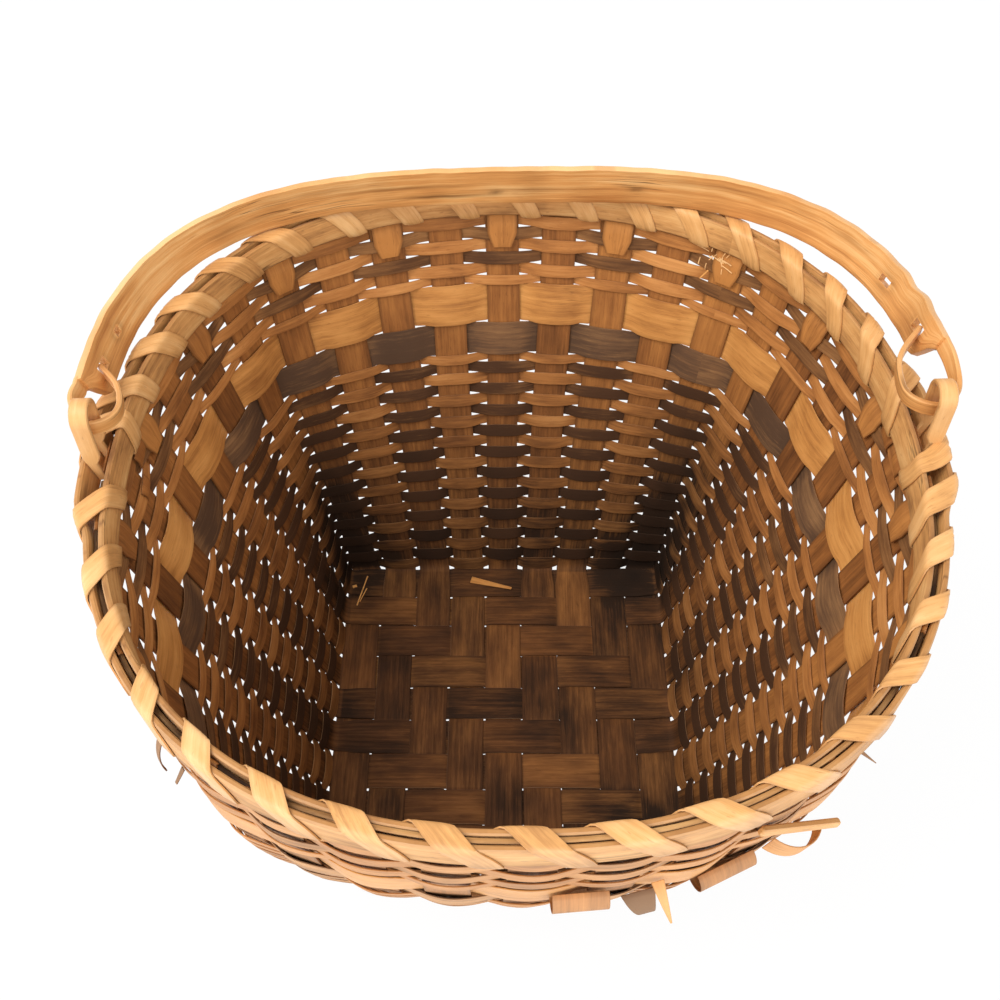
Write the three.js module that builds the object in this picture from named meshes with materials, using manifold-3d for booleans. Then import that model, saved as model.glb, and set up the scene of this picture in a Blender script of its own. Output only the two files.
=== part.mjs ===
// Antique splint basket with a bentwood swing handle, built splint by splint.
// Millimetres, +Z up. The origin is the middle of the underside of the base, and the front is at -Y.
import * as THREE from 'three';
import Module from 'manifold-3d';

// Base splints, woven two over and two under
const splintsPerSide = 9;
const splintPitch = 22;
const splintWidth = 19;
const splintThickness = 1;
const stripGap = 0.3;

// Mouth of the basket, a rounded square that leans a little off the base
const rimHalfWidth = 185;
const rimHalfDepth = 190;
const rimShiftX = 5;
const rimShiftY = 3;
const rimSquareness = 2.25;
const rimTwistDegrees = 1.8;
const rimPlaneDrop = 1.5;
const wallBulgeShare = 0.25;
const frontBulgeShare = 0.95;
const frontFalloff = 2.5;

// Courses of weavers, bottom to top, measured up the wall
const firstCourseHeight = 3.4;
const narrowCoursePitch = 6.4;
const thinCoursePitch = 5.2;
const narrowCoursePairs = 10;
const upperCourses = 5;
const darkBandPitch = 18;
const tanBandPitch = 22;
const upperCoursePitch = 6.7;
const courseGap = 0.8;
const weaverThickness = 0.8;
const weaverRidgeShare = 0.65;
const bandGap = 0.6;

// Rim hoops, the filler between them and the lashing round them
const hoopHeight = 14.4;
const hoopThickness = 3;
const hoopClearance = 2.1;
const hoopLooseness = 0.4;
const fillerSize = 2.2;
const fillerEndClearance = 5;
const lashingWidth = 13;
const lashingTopWidth = 16;
const lashingThickness = 0.8;
const lashingLooseness = 0.95;
const lashingTopShare = 0.5;
const lashingEarShare = 0;
const lashingBeforeEarShare = 0.37;
const lashingTopHalfStepShare = 0.06;
const lashingSpreadShare = 0.3;

// Folded ends of every second upright, tucked down inside the rim
const tailLength = 19.6;
const tailHalfWidth = 7.5;
const tailPointHalfWidth = 2.5;
const tailCourseGap = 0.4;
const crossedCourse = 'upper_row_5';

// Ears that carry the handle
const earWidth = 8.2;
const earTangWidth = 4.4;
const earThickness = 2.2;
const earHoleRadius = 5.6;
const earRise = 11.6;
const earFootDepth = 11;
const earShift = 2.5;
const earSlack = 0.5;
const earArcSteps = 6;

// Bentwood handle with a thin tail at each end that curls round an ear
const pivotRise = 15;
const handleHalfSpan = 191;
const handleShiftX = 2.5;
const handleInnerHeight = 171;
const handleSquareness = 2.95;
const handleWidth = 21;
const handleThickness = 4.5;
const handleSteps = 32;
const restGap = 0.4;
const tailThickness = 2.4;
const tailWidth = 8.2;
const tailTipWidth = 5;
const shoulderLength = 2.5;
const slotLength = 9;
const slotClearance = 0.5;
const tipDepth = 2;
const notchWidth = 4.4;
const ringSteps = 12;
const leftEnd = { shoulder: 21.8, ringHalfWidth: 12, slotRadius: 39, notchRadius: 63, notchLength: 4.5 };
const rightEnd = { shoulder: 36, ringHalfWidth: 13, slotRadius: 53, notchRadius: 88, notchLength: 8 };

// Mesh fineness
const twistStepDegrees = 8;
const fewestWallSteps = 3;
const wallStepsPerBulge = 5;
const rimSamples = 1440;
const bowFromHeight = 60;
const bowBothFromHeight = 125;
const deepestBow = 7;
const bowMargin = 0.08;
const bowRounds = 12;
const narrowCornerGap = 5;
const outerCornerReach = 1.5;
const innerCornerReach = 0;
const sharpCornerAlignment = 0.8;
const cutOverrun = 1;
const bisections = 40;
const smallAngle = 0.001;

// Sizes that follow from the ones above
const splintHalf = splintWidth / 2;
const layerRise = (splintThickness + stripGap) / 2;
const baseMiddle = splintThickness / 2 + layerRise;
const baseHalf = splintPitch * splintsPerSide / 2;
const uprightCount = splintsPerSide * 4;
const middleSplint = (splintsPerSide - 1) / 2;
const narrowCourses = narrowCoursePairs * 2;
const lowerTop = firstCourseHeight + narrowCourses * narrowCoursePitch + thinCoursePitch;
const bandsTop = lowerTop + darkBandPitch + tanBandPitch;
const coursesTop = bandsTop + thinCoursePitch + upperCourses * upperCoursePitch - courseGap;
const hoopBottomHeight = coursesTop + hoopClearance;
const hoopTopHeight = hoopBottomHeight + hoopHeight;
const rimPlaneHeight = hoopTopHeight - rimPlaneDrop;
const tailPointHeight = hoopBottomHeight - tailLength;
const pivotHeight = hoopTopHeight + pivotRise;
const fillerTop = hoopTopHeight - splintThickness;
const fillerBottom = fillerTop - fillerSize;
const uprightTop = fillerBottom - stripGap - splintThickness / 2;
const rimTwist = THREE.MathUtils.degToRad(rimTwistDegrees);
const tailMiddle = -(splintThickness + stripGap);
const innerHoopFace = tailMiddle - splintThickness / 2 - hoopLooseness;
const outerHoopFace = splintThickness / 2 + hoopLooseness;
const lashingFace = hoopTopHeight + stripGap + lashingThickness;

const solids = await Module();
solids.setup();

// Points and small helpers

// Distance from the middle of the mouth to its edge, at an angle round it
function rimRadius(angle) {
  const across = Math.abs(Math.cos(angle) / rimHalfWidth) ** rimSquareness;
  const along = Math.abs(Math.sin(angle) / rimHalfDepth) ** rimSquareness;
  return (across + along) ** (-1 / rimSquareness);
}

function rimPoint(angle) {
  const radius = rimRadius(angle);
  return new THREE.Vector2(
    rimShiftX + radius * Math.cos(angle),
    rimShiftY + radius * Math.sin(angle),
  );
}

// Walks the rim once from the middle of the back, to space the uprights evenly along it
function spacedRimAngles() {
  const step = 2 * Math.PI / rimSamples;
  const lengths = [0];
  for (let i = 1; i <= rimSamples; i += 1) {
    const from = rimPoint(Math.PI / 2 + (i - 1) * step);
    lengths.push(lengths[i - 1] + from.distanceTo(rimPoint(Math.PI / 2 + i * step)));
  }
  const round = lengths[rimSamples];
  const twistLength = rimTwist * (rimHalfWidth + rimHalfDepth) / 2;
  const angles = [];
  for (let k = 0; k < uprightCount; k += 1) {
    const wanted = ((k - middleSplint) * round / uprightCount + twistLength + round) % round;
    const index = lengths.findIndex((length) => length > wanted) - 1;
    const share = (wanted - lengths[index]) / (lengths[index + 1] - lengths[index]);
    angles.push(Math.PI / 2 + (index + share) * step);
  }
  return angles;
}

// Foot of upright k on the edge of the base: back, left, front and right in turn
function uprightFoot(k) {
  const side = Math.floor(k / splintsPerSide);
  const along = (k % splintsPerSide - middleSplint) * splintPitch;
  const heading = Math.PI + side * Math.PI / 2;
  const place = new THREE.Vector2(-along, baseHalf);
  return { heading, place: place.rotateAround(new THREE.Vector2(), side * Math.PI / 2) };
}

function headingAt(angle) {
  const small = Math.PI / rimSamples;
  const ahead = rimPoint(angle + small).sub(rimPoint(angle - small));
  return Math.atan2(ahead.y, ahead.x);
}

function turnBetween(from, to) {
  const turn = to - from;
  return Math.atan2(Math.sin(turn), Math.cos(turn));
}

// How far the wall bellies out over a foot: the front has sagged the most
function bulgeOver(place) {
  const frontness = Math.max(0, -place.y / baseHalf) ** frontFalloff;
  return THREE.MathUtils.lerp(wallBulgeShare, frontBulgeShare, frontness);
}

// Each upright is a run of flat lengths with a slight twist between its foot and the rim
function makeUpright(k, rimAngle) {
  const foot = uprightFoot(k);
  const top = rimPoint(rimAngle);
  const twist = turnBetween(foot.heading, headingAt(rimAngle));
  const bulge = bulgeOver(foot.place);
  const twistSteps = Math.ceil(THREE.MathUtils.radToDeg(Math.abs(twist)) / twistStepDegrees);
  const steps = Math.max(fewestWallSteps, twistSteps, Math.ceil(bulge * wallStepsPerBulge));
  const stations = [];
  for (let i = 0; i <= steps; i += 1) {
    const rise = i / steps * (uprightTop - baseMiddle) / (rimPlaneHeight - baseMiddle);
    const spread = (1 + bulge) * rise - bulge * rise * rise;
    const heading = foot.heading + twist * rise;
    const across = new THREE.Vector2(Math.cos(heading), Math.sin(heading)).multiplyScalar(splintHalf);
    const middle = foot.place.clone().lerp(top, spread);
    stations.push({
      height: baseMiddle + rise * (rimPlaneHeight - baseMiddle),
      start: middle.clone().sub(across),
      end: middle.clone().add(across),
    });
  }
  return { stations, slack: splintWidth * Math.abs(twist) / steps / 4, folded: k % 2 === 0 };
}

const uprights = spacedRimAngles().map((angle, k) => makeUpright(k, angle));

// The flat frame of upright k at a height: its edges, heading, outward direction and lean
function wallFrame(k, height) {
  const { stations } = uprights[(k + uprightCount) % uprightCount];
  let i = 0;
  while (i < stations.length - 2 && height > stations[i + 1].height) {
    i += 1;
  }
  const low = stations[i];
  const high = stations[i + 1];
  const share = (height - low.height) / (high.height - low.height);
  const start = low.start.clone().lerp(high.start, share);
  const end = low.end.clone().lerp(high.end, share);
  const along = end.clone().sub(start).normalize();
  const out = new THREE.Vector2(along.y, -along.x);
  const drift = high.start.clone().add(high.end).sub(low.start).sub(low.end).dot(out) / 2;
  const lean = Math.hypot(1, drift / (high.height - low.height));
  return { start, end, along, out, lean, height };
}

// A point beside a frame: from its start (-1), middle (0) or end (1), on along it and out from it
function beside(frame, edge, onward, outward) {
  const place = frame.start.clone().lerp(frame.end, (edge + 1) / 2);
  place.addScaledVector(frame.along, onward).addScaledVector(frame.out, outward * frame.lean);
  return new THREE.Vector3(place.x, place.y, frame.height);
}

// Turns a run of equal sections into one closed solid, joined round or capped at both ends
function loft(sections, round) {
  const sides = sections[0].length;
  const positions = sections.flat().flatMap((point) => [point.x, point.y, point.z]);
  const triangles = [];
  const last = round ? sections.length : sections.length - 1;
  for (let i = 0; i < last; i += 1) {
    const here = i * sides;
    const next = (i + 1) % sections.length * sides;
    for (let s = 0; s < sides; s += 1) {
      const t = (s + 1) % sides;
      triangles.push(here + s, here + t, next + t, here + s, next + t, next + s);
    }
  }
  if (!round) {
    const end = (sections.length - 1) * sides;
    for (let s = 1; s < sides - 1; s += 1) {
      triangles.push(0, s + 1, s, end, end + s, end + s + 1);
    }
  }
  const geometry = new THREE.BufferGeometry();
  geometry.setAttribute('position', new THREE.Float32BufferAttribute(positions, 3));
  geometry.setIndex(faceOutward(positions, triangles));
  return geometry;
}

// Reverses the triangles where the solid would be inside out
function faceOutward(positions, triangles) {
  const [a, b, c] = [new THREE.Vector3(), new THREE.Vector3(), new THREE.Vector3()];
  let volume = 0;
  for (let i = 0; i < triangles.length; i += 3) {
    a.fromArray(positions, triangles[i] * 3);
    b.fromArray(positions, triangles[i + 1] * 3);
    c.fromArray(positions, triangles[i + 2] * 3);
    volume += a.dot(b.cross(c));
  }
  return volume < 0 ? triangles.reverse() : triangles;
}

// A splint's section: its outer and inner face points, spread by half its width along a direction
function splintSection(outer, inner, direction, halfWidth) {
  const spread = direction.clone().multiplyScalar(halfWidth);
  return [
    outer.clone().sub(spread),
    outer.clone().add(spread),
    inner.clone().add(spread),
    inner.clone().sub(spread),
  ];
}

// Base splints

// A cross splint lies on top where the twill says so, and the lengthwise splint everywhere else
function crossOnTop(column, row) {
  const step = ((column - row) % 4 + 4) % 4;
  return step === 3 || step === 0;
}

// Heights of one splint's middle over the nine crossings that it makes
function crossingLevels(index, isCross) {
  const levels = [];
  for (let j = 0; j < splintsPerSide; j += 1) {
    const crossTop = isCross ? crossOnTop(j, index) : crossOnTop(index, j);
    levels.push(baseMiddle + (crossTop === isCross ? layerRise : -layerRise));
  }
  return levels;
}

// The flat stretch under the basket, from one fold to the other
function baseSections(levels, origin, forward, direction) {
  const half = splintThickness / 2;
  const at = (distance, height) => {
    const outer = origin.clone().addScaledVector(forward, distance).setZ(height - half);
    const inner = outer.clone().setZ(height + half);
    return splintSection(outer, inner, direction, splintHalf);
  };
  const sections = [];
  for (let j = 0; j < splintsPerSide - 1; j += 1) {
    if (levels[j] !== levels[j + 1]) {
      const middle = (j - middleSplint) * splintPitch;
      sections.push(at(middle + splintHalf, levels[j]));
      sections.push(at(middle + splintPitch - splintHalf, levels[j + 1]));
    }
  }
  return sections;
}

// The fold where a splint leaves the base and starts up the wall
function foldSection(k, level) {
  const frame = wallFrame(k, level);
  const mitre = splintThickness / 2 * Math.tan(Math.PI / 6);
  const outer = beside(frame, 0, 0, mitre).setZ(level - splintThickness / 2);
  const inner = beside(frame, 0, 0, -mitre).setZ(level + splintThickness / 2);
  return splintSection(outer, inner, levelDirection(frame), splintHalf);
}

function levelDirection(frame) {
  return new THREE.Vector3(frame.along.x, frame.along.y, 0);
}

function uprightSection(frame) {
  const outer = beside(frame, 0, 0, splintThickness / 2);
  const inner = beside(frame, 0, 0, -splintThickness / 2);
  return splintSection(outer, inner, levelDirection(frame), splintHalf);
}

// The upright, and past the rim its folded end down to the pointed tip
function wallSections(k) {
  const upright = uprights[k];
  const sections = upright.stations.slice(1, -1).map((station) => {
    return uprightSection(wallFrame(k, station.height));
  });
  if (!upright.folded) {
    sections.push(uprightSection(wallFrame(k, uprightTop)));
    return sections;
  }
  return sections.concat(tailSections(k));
}

function tailSections(k) {
  const half = splintThickness / 2;
  const low = wallFrame(k, uprightTop - half);
  const high = wallFrame(k, uprightTop + half);
  const direction = levelDirection(low);
  const turnOut = splintSection(beside(high, 0, 0, half), beside(low, 0, 0, -half), direction, splintHalf);
  const turnIn = splintSection(
    beside(high, 0, 0, tailMiddle - half),
    beside(low, 0, 0, tailMiddle + half),
    direction,
    splintHalf,
  );
  const overCourse = -(splintThickness + weaverThickness + stripGap + tailCourseGap) - uprights[k].slack;
  const crossed = courses.find((course) => course.name === crossedCourse);
  const hang = [
    [hoopBottomHeight, tailMiddle, splintHalf - stripGap],
    [crossed.top + courseGap, overCourse, tailHalfWidth],
    [tailPointHeight, overCourse, tailPointHalfWidth],
  ];
  // Past the turn the face that was outside looks into the basket
  const down = hang.map(([height, outward, halfWidth]) => {
    const frame = wallFrame(k, height);
    const outer = beside(frame, 0, 0, outward - half);
    const inner = beside(frame, 0, 0, outward + half);
    return splintSection(outer, inner, levelDirection(frame), halfWidth);
  });
  return [turnOut, turnIn, ...down];
}

// One whole splint: up one wall, across the base and up the other
function makeSplint(index, isCross) {
  const levels = crossingLevels(index, isCross);
  const offset = (index - middleSplint) * splintPitch;
  const origin = isCross ? new THREE.Vector3(0, -offset, 0) : new THREE.Vector3(offset, 0, 0);
  const forward = isCross ? new THREE.Vector3(1, 0, 0) : new THREE.Vector3(0, -1, 0);
  const firstUpright = isCross ? splintsPerSide + index : splintsPerSide - 1 - index;
  const lastUpright = isCross ? splintsPerSide * 4 - 1 - index : splintsPerSide * 2 + index;
  const endLevel = levels[splintsPerSide - 1];
  const up = [foldSection(firstUpright, levels[0]), ...wallSections(firstUpright)];
  const farUp = [foldSection(lastUpright, endLevel), ...wallSections(lastUpright)];
  const direction = isCross ? new THREE.Vector3(0, -1, 0) : new THREE.Vector3(-1, 0, 0);
  const across = baseSections(levels, origin, forward, direction);
  // The far wall's uprights are walked the other way round, so their sections are turned over
  const turned = farUp.map(([a, b, c, d]) => [b, a, d, c]);
  return loft([...up.reverse(), ...across, ...turned], false);
}

// Weavers

// The courses from the base to the rim, with the uprights that each passes inside
function listCourses() {
  const list = [];
  let bottom = firstCourseHeight;
  const add = (name, pitch, dark, look) => {
    const sides = bottom > bowBothFromHeight ? [-1, 1] : [-1];
    const bowedSides = bottom > bowFromHeight && name !== crossedCourse ? sides : [];
    list.push({ name, bottom, top: bottom + pitch - courseGap, insideOdd: !dark, look, bowedSides });
    bottom += pitch;
  };
  for (let i = 1; i <= narrowCourses; i += 1) {
    const dark = i % 2 === 0;
    add(`lower_row_${i}`, narrowCoursePitch, dark, dark ? 'darkWeaver' : 'lightWeaver');
  }
  add(`lower_row_${narrowCourses + 1}`, thinCoursePitch, false, 'lightWeaver');
  add('dark_band', darkBandPitch, true, 'darkBand');
  add('tan_band', tanBandPitch, false, 'tanBand');
  add('upper_row_1', thinCoursePitch, true, 'lightWeaver');
  for (let i = 2; i <= upperCourses + 1; i += 1) {
    const dark = i % 2 === 1;
    add(`upper_row_${i}`, upperCoursePitch, dark, dark ? 'darkWeaver' : 'lightWeaver');
  }
  return list;
}

const courses = listCourses();

// How far past an upright's edge a weaver runs before it crosses to the other face
function edgeReach(here, next, side) {
  const narrow = next.start.distanceTo(here.end) < narrowCornerGap;
  const sharp = here.along.dot(next.along) < sharpCornerAlignment;
  if (!narrow || !sharp) {
    return stripGap;
  }
  return side > 0 ? outerCornerReach : innerCornerReach;
}

// The same frame, seen from the other way round the basket
function reversed(frame) {
  return { ...frame, start: frame.end, end: frame.start, along: frame.along.clone().negate() };
}

// A course passes outside (1) or inside (-1) of upright k
function passSide(course, k) {
  return course.insideOdd === (k % 2 === 1) ? -1 : 1;
}

// Depth of a bowed pass that keeps its distance from both edges of the upright
function neededBow(frames, depths, k, away, side) {
  const here = frames[k];
  const middle = here.start.clone().lerp(here.end, 0.5);
  const needs = [-1, 1].map((step) => {
    const other = (k + step + uprightCount) % uprightCount;
    const beyond = frames[other];
    const near = step < 0 ? beyond.end : beyond.start;
    const flat = near.clone().addScaledVector(beyond.out, -side * away * beyond.lean);
    const bowed = beyond.start.clone().lerp(beyond.end, 0.5);
    bowed.addScaledVector(beyond.out, -side * depths[other] * beyond.lean);
    const from = (depths[other] > 0 ? bowed : flat).sub(middle);
    const share = splintHalf / Math.abs(from.dot(here.along));
    return (away * here.lean - side * from.dot(here.out) * share) / (1 - share) / here.lean;
  });
  return Math.max(...needs);
}

// Depths of a course's passes, settled together because each leans on its neighbours
function settleBows(course, frames, distance) {
  const bowed = frames.map((_, k) => course.bowedSides.includes(passSide(course, k)));
  let depths = frames.map(() => 0);
  for (let round = 1; round <= bowRounds; round += 1) {
    depths = depths.map((_, k) => {
      const away = distance + uprights[k].slack + bowMargin;
      return bowed[k] ? neededBow(frames, depths, k, away, passSide(course, k)) : 0;
    });
    // A pass that would have to bow too far, as at a corner, stays flat
    depths.forEach((depth, k) => {
      bowed[k] = bowed[k] && depth < deepestBow;
    });
  }
  return depths.map((depth, k) => bowed[k] ? depth : 0);
}

// Where a weaver stands on upright k: at both edges, or at one bowed point
function coursePlaces(course, frames, depths, k, distance) {
  const side = passSide(course, k);
  if (depths[k] > 0) {
    return [{ edge: 0, onward: 0, outward: side * depths[k] }];
  }
  const away = distance + uprights[k].slack;
  const before = frames[(k - 1 + uprightCount) % uprightCount];
  const after = frames[(k + 1) % uprightCount];
  const back = edgeReach(reversed(frames[k]), reversed(before), side);
  const ahead = edgeReach(frames[k], after, side);
  return [
    { edge: -1, onward: -back, outward: side * away },
    { edge: 1, onward: ahead, outward: side * away },
  ];
}

// How far a weaver's section turns at a sharp corner, to halve the bend there
function cornerTilt(frames, k, place, depths, distance, course) {
  const beyond = (k + place.edge + uprightCount) % uprightCount;
  const aligned = frames[k].along.dot(frames[beyond].along);
  if (place.edge === 0 || aligned > sharpCornerAlignment) {
    return 0;
  }
  const places = coursePlaces(course, frames, depths, beyond, distance);
  const partner = places.find(({ edge }) => edge !== place.edge);
  const here = flatPlace(frames[k], place);
  const step = flatPlace(frames[beyond], partner).sub(here).multiplyScalar(place.edge);
  return Math.atan2(step.dot(frames[k].out), step.dot(frames[k].along)) / 2;
}

// The plan position of a weaver's middle at one of its places
function flatPlace(frame, { edge, onward, outward }) {
  const place = beside(frame, edge, onward, outward);
  return new THREE.Vector2(place.x, place.y);
}

// A weaver goes once round the basket, outside one upright and inside the next
function makeCourse(course) {
  const half = weaverThickness / 2;
  const wide = course.look.endsWith('Band');
  const distance = splintThickness / 2 + (wide ? bandGap : stripGap) + half;
  const frames = uprights.map((_, k) => wallFrame(k, (course.bottom + course.top) / 2));
  const depths = settleBows(course, frames, distance);
  const sections = [];
  for (let k = 0; k < uprightCount; k += 1) {
    const low = wallFrame(k, course.bottom);
    const high = wallFrame(k, course.top);
    for (const place of coursePlaces(course, frames, depths, k, distance)) {
      const { edge, onward, outward } = place;
      const tilt = cornerTilt(frames, k, place, depths, distance, course);
      const ahead = -half * Math.sin(tilt);
      const away = half * Math.cos(tilt);
      const foot = beside(low, edge, onward - ahead, outward - away);
      const head = beside(high, edge, onward - ahead, outward - away);
      const headOut = beside(high, edge, onward + ahead, outward + away);
      const footOut = beside(low, edge, onward + ahead, outward + away);
      const ridge = headOut.clone().lerp(footOut, weaverRidgeShare);
      sections.push(wide ? [foot, head, headOut, footOut] : [foot, head, ridge]);
    }
  }
  return loft(sections, true);
}

// Rim

// The gap between upright k and the next: a frame halfway, and how far a hoop's corner lifts there
function gapFrame(k, height) {
  const here = wallFrame(k, height);
  const next = wallFrame(k + 1, height);
  const start = here.end;
  const end = next.start;
  const along = here.along.clone().add(next.along).normalize();
  const out = new THREE.Vector2(along.y, -along.x);
  const turn = turnBetween(here.along.angle(), next.along.angle());
  const lift = start.distanceTo(end) / 2 * Math.tan(turn / 2);
  return { start, end, along, out, lean: (here.lean + next.lean) / 2, height, lift, turn };
}

function besideGap(frame, onward, outward) {
  return beside(frame, 0, onward, outward + frame.lift / frame.lean);
}

// How far the outer hoop stands off at a gap beside an ear, to let the ear's feet in
function hoopStand(gap) {
  const besideEar = earUprights.includes(gap) || earUprights.includes(gap + 1);
  return besideEar ? earTangWidth + 2 * earSlack - hoopLooseness : 0;
}

// A hoop goes round in one flat for each upright
function makeHoop(face) {
  const sections = [];
  const sign = Math.sign(face);
  for (let k = 0; k < uprightCount; k += 1) {
    const near = face + sign * uprights[k].slack + (sign > 0 ? hoopStand(k) : 0);
    const far = near + sign * hoopThickness;
    const low = gapFrame(k, hoopBottomHeight);
    const high = gapFrame(k, hoopTopHeight);
    sections.push([
      besideGap(low, 0, near),
      besideGap(high, 0, near),
      besideGap(high, 0, far),
      besideGap(low, 0, far),
    ]);
  }
  return loft(sections, true);
}

// A filler strand lies on the ends of the uprights, between the hoops, from one ear to the other
function makeFiller(firstUpright, lastUpright) {
  const middle = (innerHoopFace + outerHoopFace) / 2;
  const half = fillerSize / 2;
  const section = (place) => [
    place(fillerBottom, middle - half),
    place(fillerTop, middle),
    place(fillerBottom, middle + half),
  ];
  const endAt = (k, edge, sign) => section((height, outward) => {
    const onward = sign * (earHoleRadius + earThickness + fillerEndClearance);
    return beside(wallFrame(k, height), edge, onward, outward);
  });
  const sections = [endAt(firstUpright, 0, 1)];
  for (let k = firstUpright; k < lastUpright; k += 1) {
    const count = (k + uprightCount) % uprightCount;
    sections.push(section((height, outward) => besideGap(gapFrame(count, height), 0, outward)));
  }
  sections.push(endAt(lastUpright, 0, -1));
  return loft(sections, false);
}

// The lashing is one strip wound round the rim, through every gap under the hoops and over the top
function makeLashing() {
  return loft(uprights.flatMap((_, k) => lashingTurn(k)), true);
}

// Outward reach of the rim's two faces at a gap, where the hoops turn their corner
function rimReach(k) {
  const gap = (k + uprightCount) % uprightCount;
  const bend = Math.abs(gapFrame(gap, hoopTopHeight).turn) * lashingTopWidth / 4;
  return {
    outer: outerHoopFace + hoopThickness + hoopStand(gap) + uprights[gap].slack + lashingLooseness,
    inner: innerHoopFace - hoopThickness - uprights[gap].slack - lashingLooseness - bend,
  };
}

// Where turn k goes over the top, kept clear of the ears
function lashingShare(k) {
  const [next, second] = [1, 2].map((ahead) => earUprights.includes((k + ahead) % uprightCount));
  if (next) {
    return lashingEarShare;
  }
  return second ? lashingBeforeEarShare : lashingTopShare;
}

// One turn: in under the hoops at gap k, up the inside, over the next upright and down outside
function lashingTurn(k) {
  const passLow = hoopBottomHeight - stripGap - lashingThickness;
  const passHigh = hoopBottomHeight - stripGap;
  const topLow = hoopTopHeight + stripGap;
  const topHigh = topLow + lashingThickness;
  const thick = lashingThickness;
  const from = rimReach(k);
  const to = rimReach(k + 1);
  const crossing = lashingShare(k);
  const edges = [crossing - lashingSpreadShare, crossing + lashingSpreadShare];
  const outer = Math.max(...edges.map((share) => THREE.MathUtils.lerp(from.outer, to.outer, share)));
  const inner = THREE.MathUtils.lerp(from.inner, to.inner, crossing);
  const step = lashingTopHalfStepShare;
  const wide = lashingTopWidth;
  return [
    lashingSection(k, 0, [passLow, from.inner - thick], [passHigh, from.inner], lashingWidth),
    lashingSection(k, crossing - step, [topHigh, inner - thick], [topLow, inner], wide),
    lashingSection(k, crossing + step, [topHigh, outer + thick], [topLow, outer], wide),
    lashingSection(k, 1, [passLow, to.outer + thick], [passHigh, to.outer], lashingWidth),
  ];
}

// A section of the lashing at a share of the way from gap k to the next, given by its two faces
function lashingSection(k, share, [outsideHeight, outside], [insideHeight, inside], width) {
  const place = (height, outward, onward) => {
    const from = besideGap(gapFrame(k, height), onward, outward);
    const to = besideGap(gapFrame((k + 1) % uprightCount, height), onward, outward);
    return from.lerp(to, share);
  };
  return [
    place(insideHeight, inside, -width / 2),
    place(insideHeight, inside, width / 2),
    place(outsideHeight, outside, width / 2),
    place(outsideHeight, outside, -width / 2),
  ];
}

// Ears and handle

// The handle turns on a line through the middle uprights of the left and right walls
const earUprights = [middleSplint + splintsPerSide, middleSplint + splintsPerSide * 3];
const axisDirection = new THREE.Vector3(Math.cos(rimTwist), Math.sin(rimTwist), 0);
const axisAcross = new THREE.Vector3(-Math.sin(rimTwist), Math.cos(rimTwist), 0);
const earCentres = earUprights.map((k) => {
  return beside(wallFrame(k, hoopTopHeight), 0, 0, earShift).setZ(pivotHeight);
});
const pivotCentre = earCentres[0].clone().lerp(earCentres[1], 0.5);

// An ear is a strip bent into a loop, with both feet tucked between the outer hoop and the upright
function makeEar(earIndex) {
  const k = earUprights[earIndex];
  const sign = earIndex === 0 ? -1 : 1;
  const centre = earCentres[earIndex];
  const legMiddle = earHoleRadius + earThickness / 2;
  const tangOut = splintThickness / 2 + earSlack + earTangWidth / 2 + uprights[k].slack;
  const station = (across, height, outward, width, thickDirection) => {
    const middle = centre.clone().addScaledVector(axisAcross, across).setZ(height);
    middle.addScaledVector(axisDirection, sign * outward);
    const thick = thickDirection.clone().multiplyScalar(earThickness / 2);
    const direction = axisDirection.clone();
    return splintSection(middle.clone().add(thick), middle.clone().sub(thick), direction, width / 2);
  };
  const tangPlace = (height) => {
    const frame = wallFrame(k, height);
    return beside(frame, 0, 0, tangOut).sub(centre).dot(axisDirection) * sign;
  };
  const footHeights = [hoopTopHeight - earFootDepth, hoopTopHeight];
  const leg = (side) => {
    const face = axisAcross.clone().multiplyScalar(side);
    const feet = footHeights.map((height) => {
      return station(side * legMiddle, height, tangPlace(height), earTangWidth, face);
    });
    const shoulder = hoopTopHeight + stripGap + earThickness;
    return [...feet, station(side * legMiddle, shoulder, 0, earWidth, face)];
  };
  const bow = [];
  for (let i = 0; i <= earArcSteps; i += 1) {
    const angle = Math.PI * i / earArcSteps;
    const face = axisAcross.clone().multiplyScalar(-Math.cos(angle)).setZ(Math.sin(angle));
    const height = pivotHeight + earRise + legMiddle * Math.sin(angle) - legMiddle / 2;
    bow.push(station(-legMiddle * Math.cos(angle), height, 0, earWidth, face));
  }
  return loft([...leg(-1), ...bow, ...leg(1).reverse()], false);
}

// The handle's own plane: x along the turning line, y away from it, z across the band
function bandPoint(angle) {
  const halfSpan = handleHalfSpan + handleThickness / 2;
  const height = handleInnerHeight + handleThickness / 2;
  const across = Math.abs(Math.cos(angle) / halfSpan) ** handleSquareness;
  const along = Math.abs(Math.sin(angle) / height) ** handleSquareness;
  const radius = (across + along) ** (-1 / handleSquareness);
  return new THREE.Vector2(handleShiftX + radius * Math.cos(angle), radius * Math.sin(angle));
}

// The angle on the band's curve at which it is a given distance from the turning line
function bandAngleAt(distance, sign) {
  let low = 0;
  let high = Math.PI / 2;
  for (let i = 0; i < bisections; i += 1) {
    const middle = (low + high) / 2;
    if (bandPoint(middle).y < distance) {
      low = middle;
    } else {
      high = middle;
    }
  }
  return sign < 0 ? Math.PI - low : low;
}

// A section of the bent strip, square to its path
function stripSection(place, heading, thickness, width) {
  const side = new THREE.Vector2(-heading.y, heading.x).multiplyScalar(thickness / 2);
  const corners = [[1, -1], [1, 1], [-1, 1], [-1, -1]];
  return corners.map(([outward, across]) => {
    return new THREE.Vector3(place.x + outward * side.x, place.y + outward * side.y, across * width / 2);
  });
}

function bandHeading(angle) {
  return bandPoint(angle - smallAngle).sub(bandPoint(angle + smallAngle)).normalize();
}

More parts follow.
